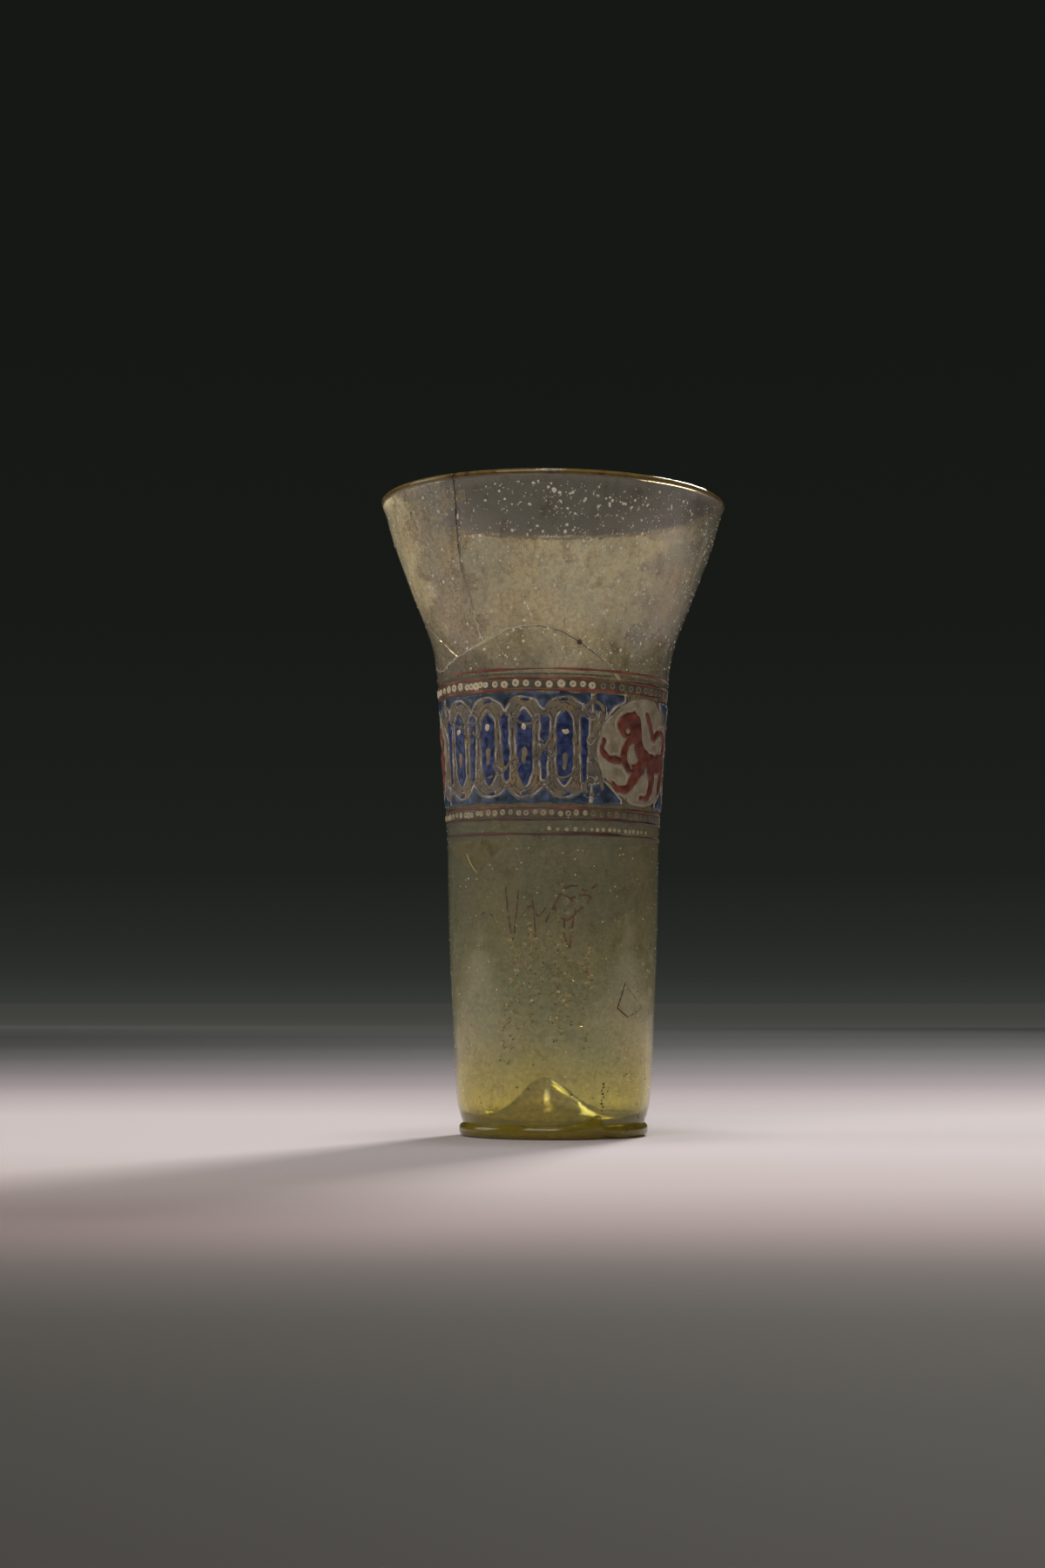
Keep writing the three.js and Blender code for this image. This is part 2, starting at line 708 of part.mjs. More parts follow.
const strawGlass = finish(0xb9ab7a, 0.12, 0, 0.45);
const oliveGlass = finish(0x6f6224, 0.15, 0, 0.7);
const agedAdhesive = finish(0xc9b58a, 0.6, 0, 1);
const wornGilding = finish(0x8d7d63, 0.55, 0.2, 1);
const blueEnamel = finish(0x23365f, 0.35, 0, 1);
const whiteEnamel = finish(0xb3a488, 0.5, 0, 1);
const redEnamel = finish(0x7a3018, 0.45, 0, 1);

const beaker = new THREE.Group();
const glasswork = new THREE.Group();
const painting = new THREE.Group();
glasswork.name = 'glasswork';
painting.name = 'painting';
beaker.add(glasswork, painting);

// The mouth end leans with height up to the painted band, and by the full angle from there on
function leaned(x, height) {
  const share = Math.min(height / bandFootHeight, 1);
  return height - x * Math.tan(leanDegrees * rad) * share;
}

function addPiece(group, name, solid, material) {
  const { numProp, vertProperties, triVerts } = solid.getMesh();
  const positions = [];
  for (let index = 0; index < vertProperties.length; index += numProp) {
    const [x, y, z] = vertProperties.subarray(index, index + 3);
    positions.push(x, y, leaned(x, z));
  }
  const geometry = new THREE.BufferGeometry();
  geometry.setAttribute('position', new THREE.Float32BufferAttribute(positions, 3));
  geometry.setIndex(Array.from(triVerts));
  geometry.computeVertexNormals();
  const mesh = new THREE.Mesh(geometry, material);
  mesh.name = name;
  group.add(mesh);
}

addPiece(glasswork, 'blown_body', blownBody, strawGlass);
addPiece(glasswork, 'rim_shard', rimShard, strawGlass);
addPiece(glasswork, 'shoulder_shard', shoulderShard, strawGlass);
addPiece(glasswork, 'join_adhesive', joinAdhesive, agedAdhesive);
addPiece(glasswork, 'foot_trail', footTrail, oliveGlass);

lineHeights.forEach((height, index) => {
  addPiece(painting, `red_line_${index + 1}`, paintedLine(height), redEnamel);
});
const lowerUnderLine = lowestLineHeight + lowerBeadUnderLine;
const lowerOverLine = lowestLineHeight + lowerBeadOverLine;
addPiece(painting, 'bead_band_upper', beadBand(upperUnderLine, upperOverLine), whiteEnamel);
addPiece(painting, 'bead_band_lower', beadBand(lowerUnderLine, lowerOverLine), whiteEnamel);

roundelAzimuths.forEach((azimuth, index) => {
  const enamel = friezeLayer(roundTheAxis, 0, roundelThickness, 0, 0, true);
  const paint = friezeLayer(roundTheAxis, 0, beastThickness, roundelThickness + skinGap, 0, true);
  addPiece(painting, `roundel_${index + 1}`, enamel.intersect(roundelCutter(azimuth, 0)), whiteEnamel);
  addPiece(painting, `beast_${index + 1}`, paint.intersect(beastCutter(azimuth)), redEnamel);
  addPiece(painting, `beast_${index + 1}_paw`, paint.intersect(beastStroke(azimuth, pawStroke)), redEnamel);
});

stretches.forEach((stretch) => {
  const { panels, slots, facet } = bayFields(stretch);
  const strapAzimuths = stretchAzimuths(stretch, strapInset);
  const gilt = friezeLayer(strapAzimuths, borderWidth + inlayGap, giltThickness, 0, facet, false);
  const blue = friezeLayer(stretchAzimuths(stretch, borderInset), 0, blueThickness, 0, facet, false);
  const hole = (shape, azimuth) => fieldSolid(shape, azimuth, -blueThickness, 3 * blueThickness);
  const openings = [
    ...panels.map((azimuth) => hole(panelShape(inlayGap), azimuth)),
    ...slots.map((azimuth) => hole(slotShape(inlayGap), azimuth)),
    pendantCutters(stretch, 1, inlayGap),
    pendantCutters(stretch, -1, inlayGap),
    roundelCutter(stretch.from, roundelGap),
    roundelCutter(stretch.to, roundelGap)
  ];
  addPiece(painting, `gilt_strapwork_${stretch.name}`, gilt.subtract(joined(openings)), wornGilding);
  const topBorder = blue.intersect(borderCutter(stretch, 1));
  const bottomBorder = blue.intersect(borderCutter(stretch, -1));
  addPiece(painting, `blue_border_top_${stretch.name}`, topBorder, blueEnamel);
  addPiece(painting, `blue_border_bottom_${stretch.name}`, bottomBorder, blueEnamel);
  panels.forEach((azimuth, index) => {
    const panel = fieldSolid(panelShape(0), azimuth, 0, blueThickness);
    addPiece(painting, `blue_panel_${stretch.name}_${index + 1}`, panel, blueEnamel);
  });
  slots.forEach((azimuth, index) => {
    const slot = fieldSolid(slotShape(0), azimuth, 0, blueThickness);
    addPiece(painting, `blue_slot_${stretch.name}_${index + 1}`, slot, blueEnamel);
  });
});

export default beaker;
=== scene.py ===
import math

import bpy
import numpy as np
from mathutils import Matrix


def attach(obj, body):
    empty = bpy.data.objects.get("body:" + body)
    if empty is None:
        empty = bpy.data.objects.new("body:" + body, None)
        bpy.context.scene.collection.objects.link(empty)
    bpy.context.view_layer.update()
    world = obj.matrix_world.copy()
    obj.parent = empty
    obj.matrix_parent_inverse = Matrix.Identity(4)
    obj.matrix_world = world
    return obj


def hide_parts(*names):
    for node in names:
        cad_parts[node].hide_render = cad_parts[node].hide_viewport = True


bl_info = {
    "name": "Enamelled beaker",
    "version": (1, 0, 0),
    "blender": (4, 5, 0),
    "location": "3D View > Sidebar > Beaker",
    "description": "Dresses the packed beaker in blown glass, enamel, gilding and old mends",
    "category": "Object",
}

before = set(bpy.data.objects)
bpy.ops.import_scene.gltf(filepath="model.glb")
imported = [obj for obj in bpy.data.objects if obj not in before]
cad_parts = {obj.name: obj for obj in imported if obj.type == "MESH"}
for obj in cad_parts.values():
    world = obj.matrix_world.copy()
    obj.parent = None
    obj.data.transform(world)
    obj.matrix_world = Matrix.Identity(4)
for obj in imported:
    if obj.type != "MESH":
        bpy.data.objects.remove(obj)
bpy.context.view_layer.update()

# Heights and outside radii of the blown wall, in millimetres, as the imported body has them
WALL_STATIONS = [
    (3.4, 24.2), (9.2, 25.75), (25.0, 26.7), (55.0, 28.0), (78.7, 28.5), (100.0, 29.65),
    (122.4, 31.4), (131.6, 33.0), (145.8, 38.5), (159.8, 43.6), (168.9, 46.2),
]
FOOT_HEIGHT = WALL_STATIONS[0][0]
MOUTH_HEIGHT = WALL_STATIONS[-1][0]
# Where the painted band ends and the flare starts, and how far the mouth leans
BAND_TOP = 122.4
LEAN = math.tan(math.radians(0.85))
LEAN_FULL_HEIGHT = 78.7
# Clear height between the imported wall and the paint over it
SKIN = 0.04
# Steps round the beaker of the wall, the trail and its seat, the lines and the gilt rings
WALL_STEPS, TRAIL_STEPS, SEAT_STEPS, LINE_STEPS, GILT_STEPS = 224, 300, 240, 360, 300

# Base and the kick in it, in millimetres
BASE_RADIUS = 22.3
BASE_HEIGHT = 1.9
BASE_GLASS = 1.9
KICK_HEIGHT = 15.4
KICK_BLUNTNESS = 0.86
KICK_ASIDE = 2.2
UNDER_STEPS = 26

# Painted band: heights and margins in millimetres, azimuths in degrees
LINE_HEIGHTS = (121.2, 118.9, 116.0, 85.5, 82.6, 78.7)
FRIEZE_MIDDLE = (86.7 + 115.3) / 2
ROUNDEL_REACH = 15.6
ROUNDEL_RISE = 14.05
ROUNDEL_AZIMUTHS = (53.0, -102.0)
FIELD_MARGIN = 1.0
BAYS = {"front": 4, "back": 6}

rng = np.random.default_rng(1290)


def linear_rgba(code):
    """sRGB hex, such as "8d7d63", to linear red, green, blue and full alpha."""
    channels = [int(code[i:i + 2], 16) / 255 for i in (0, 2, 4)]
    return (*[c / 12.92 if c <= 0.04045 else ((c + 0.055) / 1.055) ** 2.4 for c in channels], 1.0)


def smoothstep(low, high, value):
    t = np.clip((np.asarray(value, float) - low) / (high - low), 0, 1)
    return t * t * (3 - 2 * t)


def full_turn(steps):
    """Angles of a full turn in even steps, in radians."""
    return np.arange(steps) * 2 * math.pi / steps


def waver(seed, size):
    """A smooth random field over (s, z), about -1 to 1, with features of a size in millimetres."""
    count = 7
    source = np.random.default_rng(seed)
    angles = source.uniform(0, 2 * math.pi, count)
    rates = 2 * math.pi / size * source.uniform(0.5, 1.4, count)
    phases = source.uniform(0, 2 * math.pi, count)

    def field(s, z):
        total = 0.0
        for angle, rate, phase in zip(angles, rates, phases):
            total = total + np.sin(rate * (s * math.cos(angle) + z * math.sin(angle)) + phase)
        return total / math.sqrt(count)

    return field


# The wall, in millimetres and radians

def blown_radius(z):
    """Outside radius of the wall: a smooth cubic through the stations."""
    heights = np.array([station[0] for station in WALL_STATIONS])
    radii = np.array([station[1] for station in WALL_STATIONS])
    slopes = np.empty_like(radii)
    slopes[1:-1] = (radii[2:] - radii[:-2]) / (heights[2:] - heights[:-2])
    slopes[0] = (radii[1] - radii[0]) / (heights[1] - heights[0])
    slopes[-1] = (radii[-1] - radii[-2]) / (heights[-1] - heights[-2])
    z = np.asarray(z, float)
    index = np.clip(np.searchsorted(heights, z, side="right") - 1, 0, len(heights) - 2)
    span = heights[index + 1] - heights[index]
    t = np.clip((z - heights[index]) / span, 0, 1)
    rise = (3 - 2 * t) * t * t
    lead = t * (1 - t) ** 2
    trail = t * t * (t - 1)
    step = radii[index + 1] - radii[index]
    return radii[index] + step * rise + span * (slopes[index] * lead + slopes[index + 1] * trail)


def hand_factor(azimuth, z):
    """Blowing leaves the wall a little out of round. It only draws in, so the beaker keeps its size."""
    oval = 0.0022 * (1 + np.cos(2 * azimuth - 0.7))
    sway = 0.0012 * (1 + np.sin(3 * azimuth + 0.035 * z))
    return 1 - oval - sway


def wall_radius(azimuth, z):
    return blown_radius(z) * hand_factor(azimuth, z)


R_MIDDLE = float(blown_radius(FRIEZE_MIDDLE))


def leaned(points):
    """Millimetres to metres, with the mouth end leaning down to the right as the hand left it."""
    points = np.array(points, float)
    share = np.minimum(points[:, 2] / LEAN_FULL_HEIGHT, 1)
    points[:, 2] -= points[:, 0] * LEAN * share
    return points * 0.001


def around(azimuth, radius, z):
    """Points in millimetres from azimuths in radians, radii and heights."""
    azimuth, radius, z = np.broadcast_arrays(azimuth, radius, z)
    return np.stack([radius * np.sin(azimuth), -radius * np.cos(azimuth), z], axis=-1).reshape(-1, 3)


def on_wall(s, z, lift):
    """Place on the wall: s in millimetres round the frieze from the front, z up and lift off the glass."""
    azimuth = np.asarray(s, float) / R_MIDDLE
    return around(azimuth, wall_radius(azimuth, z) + SKIN + lift, z)


def s_of(azimuth_degrees):
    """Millimetres round the frieze from the front, for an azimuth in degrees."""
    return math.radians(azimuth_degrees) * R_MIDDLE


# Meshes

def add_object(name, verts, faces, finishes, slots=None, sharp=35, node=None):
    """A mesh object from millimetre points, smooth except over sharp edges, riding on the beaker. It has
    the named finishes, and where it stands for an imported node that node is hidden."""
    mesh = bpy.data.meshes.new(name)
    mesh.from_pydata(leaned(verts).tolist(), [], faces)
    for finish in finishes.split():
        mesh.materials.append(finish_of(finish))
    if slots is not None:
        mesh.polygons.foreach_set("material_index", slots)
    mesh.validate()
    mesh.polygons.foreach_set("use_smooth", [True] * len(mesh.polygons))
    mesh.update()
    mesh.set_sharp_from_angle(angle=math.radians(sharp))
    piece = linked(name, mesh)
    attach(piece, "root")
    if node:
        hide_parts(node)


def linked(name, data):
    """A new object in the scene with a mesh, a lamp or a camera in it."""
    made = bpy.data.objects.new(name, data)
    bpy.context.scene.collection.objects.link(made)
    return made


class Parts:
    """Gathers closed solids into one mesh, each with a material slot."""

    def __init__(self):
        self.verts = []
        self.faces = []
        self.slots = []
        self.count = 0

    def add(self, verts, faces, slot=0):
        self.verts.append(np.asarray(verts, float))
        self.faces.extend([tuple(int(v) + self.count for v in face) for face in faces])
        self.slots.extend([slot] * len(faces))
        self.count += len(verts)

    def lay(self, field, area, cell, thickness, edge, slot=0, **relief):
        """Adds a layer of paint over an area, as plate() makes it."""
        self.add(*plate(field, area, cell, thickness, edge, **relief), slot)

    def build(self, name, finishes, node=None):
        add_object(name, np.concatenate(self.verts), self.faces, finishes, self.slots, node=node)


def swept(rings, closed_way, closed_section=True, caps=True):
    """Faces between rings of points: an array (ring, point, 3)."""
    ring_count, point_count = rings.shape[:2]
    faces = []
    for ring in range(ring_count if closed_way else ring_count - 1):
        here = ring * point_count
        there = ((ring + 1) % ring_count) * point_count
        for point in range(point_count if closed_section else point_count - 1):
            after = (point + 1) % point_count
            faces.append((here + point, there + point, there + after, here + after))
    if caps and not closed_way:
        end = (ring_count - 1) * point_count
        faces.append(tuple(range(point_count)))
        faces.append(tuple(end + point for point in reversed(range(point_count))))
    return rings.reshape(-1, 3), faces


def domed(rings, base, tip):
    """A closed drop from rings of points, with one point under the first ring and one over the last."""
    verts, faces = swept(np.array(rings), False, caps=False)
    sides, under, over = len(rings[0]), len(verts), len(verts) + 1
    last = under - sides
    for side in range(sides):
        after = (side + 1) % sides
        faces.append((under, side, after))
        faces.append((over, last + after, last + side))
    return np.concatenate([verts, base, tip]), faces


def turned(profile, steps, factor=None):
    """A profile of (radius, height) points turned round the axis. Its ends lie on the axis."""
    profile = np.array(profile, float)
    radii, heights = profile[1:-1].T
    rings = [around(turn, radii * (factor(turn, heights) if factor else 1), heights)
             for turn in full_turn(steps)]
    verts, faces = swept(np.array(rings), True, False)
    first, last, count = len(verts), len(verts) + 1, len(radii)
    for step in range(steps):
        here, there = step * count, ((step + 1) % steps) * count
        faces.append((first, there, here))
        faces.append((last, here + count - 1, there + count - 1))
    return np.concatenate([verts, [[0, 0, profile[0, 1]], [0, 0, profile[-1, 1]]]]), faces


# Enamel: flat shapes given by a signed field in millimetres (below 0 inside), laid on the wall as relief

def area_of(points, margin):
    """Ranges of s and z that some points take up, with a margin round them."""
    (s0, z0), (s1, z1) = np.min(points, axis=0) - margin, np.max(points, axis=0) + margin
    return (s0, s1), (z0, z1)


def area_round(s, z, wide, tall):
    """Ranges of s and z round a middle."""
    return (s - wide, s + wide), (z - tall, z + tall)


def plate(field, area, cell, thickness, edge, lift=0.0, uneven=0.0, seed=5):
    """A closed layer over every place where the field is below 0, its top rounded down at the edges."""
    axes = [np.arange(low, high + cell, cell) for low, high in area]
    s, z = np.meshgrid(*axes, indexing="ij")
    values = field(s, z)
    kept = (values[:-1, :-1] + values[1:, :-1] + values[:-1, 1:] + values[1:, 1:]) / 4 < 0
    if not kept.any():
        raise RuntimeError("a painted shape came out empty")
    used = np.zeros(s.shape, bool)
    surrounded = np.zeros(s.shape, int)
    for ds in (0, 1):
        for dz in (0, 1):
            window = (slice(ds, ds + kept.shape[0]), slice(dz, dz + kept.shape[1]))
            used[window] |= kept
            surrounded[window] += kept
    border = used & (surrounded < 4)
    step = cell * 0.25
    for _ in range(3):
        value = field(s[border], z[border])
        across = (field(s[border] + step, z[border]) - field(s[border] - step, z[border])) / (2 * step)
        up = (field(s[border], z[border] + step) - field(s[border], z[border] - step)) / (2 * step)
        size = np.maximum(across ** 2 + up ** 2, 0.05)
        s[border] -= np.clip(value * across / size, -0.5 * cell, 0.5 * cell)
        z[border] -= np.clip(value * up / size, -0.5 * cell, 0.5 * cell)
    number = -np.ones(s.shape, int)
    number[used] = np.arange(used.sum())
    s_used, z_used = s[used], z[used]
    depth = np.clip(-field(s_used, z_used) / edge, 0, 1)
    rise = thickness * np.sqrt(1 - (1 - depth) ** 2)
    if uneven:
        rise = rise * (1 + uneven * waver(seed, 2.4)(s_used, z_used))
    top = on_wall(s_used, z_used, lift + np.clip(rise, 0.02, None))
    bottom = on_wall(s_used, z_used, lift)
    count = len(s_used)
    faces = []
    for i, j in zip(*np.nonzero(kept)):
        a, b, c, d = number[i, j], number[i + 1, j], number[i + 1, j + 1], number[i, j + 1]
        faces.append((a, b, c, d))
        faces.append((a + count, d + count, c + count, b + count))
        sides = (
            (j == 0 or not kept[i, j - 1], b, a), (j == kept.shape[1] - 1 or not kept[i, j + 1], d, c),
            (i == 0 or not kept[i - 1, j], a, d), (i == kept.shape[0] - 1 or not kept[i + 1, j], c, b),
        )
        faces.extend((first, second, second + count, first + count) for open_side, first, second in sides
                     if open_side)
    return np.concatenate([top, bottom]), faces


def rounded_route(points, steps, closed=False):
    """A smooth curve through points: an even Catmull-Rom spline."""
    points = np.array(points, float)
    count = len(points)
    spans = count if closed else count - 1
    result = []
    for place in np.linspace(0, spans, steps + 1)[: steps if closed else steps + 1]:
        index = min(int(place), spans - 1)
        t = place - index
        if closed:
            p0, p1, p2, p3 = (points[(index + k) % count] for k in (-1, 0, 1, 2))
        else:
            p1, p2 = points[index], points[index + 1]
            p0 = points[index - 1] if index else p1
            p3 = points[index + 2] if index + 2 < count else p2
        v0, v1 = (p2 - p0) * 0.5, (p3 - p1) * 0.5
        cube = (2 * p1 - 2 * p2 + v0 + v1) * t ** 3
        square = (-3 * p1 + 3 * p2 - 2 * v0 - v1) * t ** 2
        result.append(cube + square + v0 * t + p1)
    return np.array(result)


def span_gap(s, z, start, end):
    """Distance to a straight span, and the share of the way along it where it is nearest."""
    way = end - start
    t = np.clip(((s - start[0]) * way[0] + (z - start[1]) * way[1]) / max(way @ way, 1e-9), 0, 1)
    return np.hypot(s - start[0] - t * way[0], z - start[1] - t * way[1]), t


def stroke_field(route, half_widths):
    """Signed distance to a brush stroke along a route of (s, z) points."""
    route = np.array(route, float)
    widths = np.broadcast_to(np.asarray(half_widths, float), (len(route),))

    def field(s, z):
        best = np.full(np.shape(s), 1e3)
        for start, end, w0, w1 in zip(route[:-1], route[1:], widths[:-1], widths[1:]):
            gap, t = span_gap(s, z, start, end)
            best = np.minimum(best, gap - w0 - (w1 - w0) * t)
        return best

    return field


def outline_field(points):
    """Signed distance to a closed outline of (s, z) points, below 0 inside."""
    points = np.array(points, float)

    def field(s, z):
        s, z = np.asarray(s, float), np.asarray(z, float)
        best = np.full(s.shape, 1e3)
        inside = np.zeros(s.shape, bool)
        for start, end in zip(points, np.roll(points, -1, axis=0)):
            best = np.minimum(best, span_gap(s, z, start, end)[0])
            way = end - start
            if way[1]:
                crosses = (start[1] > z) != (end[1] > z)
                inside ^= crosses & (s < way[0] * (z - start[1]) / way[1] + start[0])
        return np.where(inside, -best, best)

    return field


def box_field(s0, s1, z0, z1):
    return outline_field([(s0, z0), (s1, z0), (s1, z1), (s0, z1)])


def disc_field(centre, radius):
    return lambda s, z: np.hypot(s - centre[0], z - centre[1]) - radius


def shaken(field, seed, size, amount):
    """The field with a hand's unevenness along its edge."""
    wander = waver(seed, size)
    return lambda s, z: field(s, z) + amount * wander(s, z)


def union(*fields):
    return lambda s, z: np.minimum.reduce([field(s, z) for field in fields])


def without(field, *holes):
    return lambda s, z: np.maximum.reduce([field(s, z), *[-hole(s, z) for hole in holes]])


def ring_stroke(height, half_width, thickness, seed):
    """A painted line right round the wall, a little wavy and of uneven width."""
    azimuth = full_turn(LINE_STEPS)
    source = np.random.default_rng(seed)
    drift, swell, load = 0.0, 1.0, 1.0
    for turns in (1, 2, 3, 5, 8, 13, 21):
        drift += 0.16 / turns ** 0.5 * np.sin(turns * azimuth + source.uniform(0, 6.28)) * 0.5
        swell += 0.16 * np.sin((turns + 4) * azimuth + source.uniform(0, 6.28))
        load += 0.12 * np.sin((turns + 9) * azimuth + source.uniform(0, 6.28))
    half = half_width * np.clip(swell, 0.45, 1.5)
    across = np.array([-1, -0.6, 0, 0.6, 1, 0.5, -0.5])
    lift = np.maximum([0, 0.7, 1, 0.7, 0, -0.01, -0.01], 0)
    rings = []
    for a, d, h, paint in zip(azimuth, drift, half, np.clip(load, 0.5, 1.3)):
        z = height + d + across * h
        rings.append(around(a, wall_radius(a, z) + SKIN + lift * thickness * paint, z))
    return swept(np.array(rings), True)


# Materials

def add_node(tree, kind, inputs=(), stops=(), **settings):
    """Adds a node with its settings, its colour stops and its inputs, which are given by name or in order.
    A node given for an input is linked by its first output, a pair of node and output by that output."""
    node = tree.nodes.new("ShaderNode" + kind)
    for key, value in settings.items():
        setattr(node, key, value)
    if stops:
        elements = node.color_ramp.elements
        while len(elements) < len(stops):
            elements.new(0.5)
        for element, (place, code) in zip(elements, stops):
            element.position = place
            element.color = linear_rgba(code)
    for key, value in inputs.items() if isinstance(inputs, dict) else enumerate(inputs):
        if isinstance(value, bpy.types.Node):
            value = (value, 0)
        if isinstance(value, tuple) and isinstance(value[0], bpy.types.Node):
            tree.links.new(value[0].outputs[value[1]], node.inputs[key])
        else:
            node.inputs[key].default_value = value
    return node


def per_mm(size):
    """Noise scale whose features are a size in millimetres across."""
    return 1000 / size


def new_material(name):
    """An empty material, its node tree and the place on the object that its patterns follow."""
    material = bpy.data.materials.new(name)
    material.use_nodes = True
    material.node_tree.nodes.clear()
    return material, material.node_tree, (add_node(material.node_tree, "TexCoord"), "Object")


def surfaced(material, shader, volume=None):
    """The material with its surface, and with what swallows light inside it where that is given."""
    parts = {"Surface": shader, "Volume": volume} if volume else {"Surface": shader}
    add_node(material.node_tree, "OutputMaterial", parts)
    return material


def straw_blown_glass(name, clear, film, transmission, depth=(), heights=(), streaks=1.0, dull=0.07,
                      patches=()):
    """Soda-lime glass, blown and long buried: straw tint in depth, ripples from the blowing, a kick ground
    dull and a film of weathering that comes and goes; heights in mm give its colour from foot to mouth,
    patches the colours of a film that has dried in clouds and grains: bright, dull and between the grains."""
    material, tree, place = new_material(name)
    drawn_out = add_node(tree, "Mapping", {"Vector": place, "Scale": (1.0, 1.0, streaks)})
    cloud = add_node(tree, "TexNoise", {
        "Vector": drawn_out, "Scale": per_mm(6), "Detail": 10.0, "Roughness": 0.78})
    colour = add_node(tree, "ValToRGB", [cloud], [(0.36, film), (0.46, clear), (0.54, clear), (0.64, film)])
    layers = []
    if heights:
        axes = add_node(tree, "SeparateXYZ", [place])
        rise = add_node(tree, "MapRange", [(axes, "Z"), 0.0, 0.2, 0.0, 1.0])
        layers.append((rise, [(height / 200, shade) for height, shade in heights]))
    if patches:
        bright, dried, between = patches
        drift = add_node(tree, "TexNoise", {"Vector": place, "Scale": per_mm(19), "Detail": 4.0})
        grain = add_node(tree, "TexNoise", {"Vector": place, "Scale": per_mm(0.9), "Detail": 3.0})
        layers += [(drift, [(0.4, bright), (0.6, dried)]), (grain, [(0.38, between), (0.57, "ffffff")])]
    for factor, stops in layers:
        layer = add_node(tree, "ValToRGB", [factor], stops)
        mixed = add_node(tree, "Mix", {0: 1.0, 6: colour, 7: layer}, data_type="RGBA", blend_type="MULTIPLY")
        colour = (mixed, 2)
    dullness = add_node(tree, "MapRange", [cloud, 0.35, 0.65, dull * 0.4, dull])
    level = add_node(tree, "VectorMath", [place, (1.0, 1.0, 0.0)], operation="MULTIPLY")
    reach = add_node(tree, "VectorMath", [level], operation="LENGTH")
    kick = add_node(tree, "MapRange", [(reach, "Value"), 0.014, 0.026, 0.07, 0.0])
    dulled = add_node(tree, "Math", [dullness, kick], operation="ADD")
    ripple = add_node(tree, "TexNoise", {"Vector": place, "Scale": per_mm(9), "Detail": 3.0})
    blown = add_node(tree, "Bump", {"Height": ripple, "Strength": 0.3, "Distance": 0.0004})
    shader = add_node(tree, "BsdfPrincipled", {
        "Base Color": colour, "Roughness": dulled, "Normal": blown, "IOR": 1.52,
        "Transmission Weight": transmission})
    if not depth:
        return surfaced(material, shader)
    tint, density = depth
    swallowed = add_node(tree, "VolumeAbsorption", {"Color": linear_rgba(tint), "Density": density})
    return surfaced(material, shader, swallowed)


def fired_enamel(name, thin, body, worn, grain_mm, roughness):
    """Opaque lead enamel ground with colour, laid on with a brush and fired: thick where the brush
    stopped, pitted by burst bubbles and rubbed dull on the high places."""
    material, tree, place = new_material(name)
    load = add_node(tree, "TexNoise", {
        "Vector": place, "Scale": per_mm(grain_mm), "Detail": 4.0, "Roughness": 0.6})
    colour = add_node(tree, "ValToRGB", [load], [(0.3, thin), (0.5, body), (0.68, worn)])
    pit = add_node(tree, "TexVoronoi", {"Vector": place, "Scale": per_mm(0.55)})
    pit_depth = add_node(tree, "MapRange", [pit, 0.0, 0.35, 0.0, 1.0])
    skin = add_node(tree, "Bump", {"Height": pit_depth, "Strength": 0.35, "Distance": 0.00008})
    brush = add_node(tree, "Bump", {"Height": load, "Strength": 0.4, "Distance": 0.0002, "Normal": skin})
    dullness = add_node(tree, "MapRange", [load, 0.3, 0.7, roughness, min(roughness + 0.25, 1.0)])
    return surfaced(material, add_node(tree, "BsdfPrincipled", {
        "Base Color": colour, "Roughness": dullness, "Normal": brush, "IOR": 1.6}))


def worn_gilding(name, bare, ground, gold):
    """Gold fired onto the glass and rubbed away: a greyish-brown ground is left, with flecks of gold and
    fine scratches in it."""
    material, tree, place = new_material(name)
    cloud = add_node(tree, "TexNoise", {
        "Vector": place, "Scale": per_mm(5), "Detail": 6.0, "Roughness": 0.65})
    colour = add_node(tree, "ValToRGB", [cloud], [(0.32, bare), (0.5, ground), (0.66, gold)])
    fleck = add_node(tree, "TexNoise", {
        "Vector": place, "Scale": per_mm(0.8), "Detail": 4.0, "Roughness": 0.7})
    metal = add_node(tree, "MapRange", [fleck, 0.56, 0.66, 0.0, 0.7])
    dullness = add_node(tree, "MapRange", [cloud, 0.3, 0.7, 0.62, 0.38])
    skin = add_node(tree, "Bump", {"Height": fleck, "Strength": 0.5, "Distance": 0.00006})
    return surfaced(material, add_node(tree, "BsdfPrincipled", {
        "Base Color": colour, "Metallic": metal, "Roughness": dullness, "Normal": skin}))


def aged_adhesive(name, pale, yellow, dark):
    """Old adhesive that has yellowed in the joins and dried to a pale crust where it was squeezed out."""
    material, tree, place = new_material(name)
    axes = add_node(tree, "SeparateXYZ", [place])
    height = add_node(tree, "MapRange", [(axes, "Z"), 0.134, 0.162, 0.0, 0.7])
    crumbs = add_node(tree, "TexNoise", {
        "Vector": place, "Scale": per_mm(1.2), "Detail": 4.0, "Roughness": 0.7})
    shift = add_node(tree, "Math", [crumbs, 0.45], operation="MULTIPLY")
    total = add_node(tree, "Math", [height, shift], operation="ADD")
    colour = add_node(tree, "ValToRGB", [total], [(0.22, pale), (0.4, yellow), (0.8, dark)])
    crust = add_node(tree, "Bump", {"Height": crumbs, "Strength": 0.6, "Distance": 0.0001})
    return surfaced(material, add_node(tree, "BsdfPrincipled", {
        "Base Color": colour, "Roughness": 0.55, "Normal": crust}))


MATERIALS = {}


def finish_of(key):
    """Each finish is made once and shared by the pieces that have it."""
    if key not in MATERIALS:
        maker, *values = FINISHES[key]
        MATERIALS[key] = maker(*values)
    return MATERIALS[key]


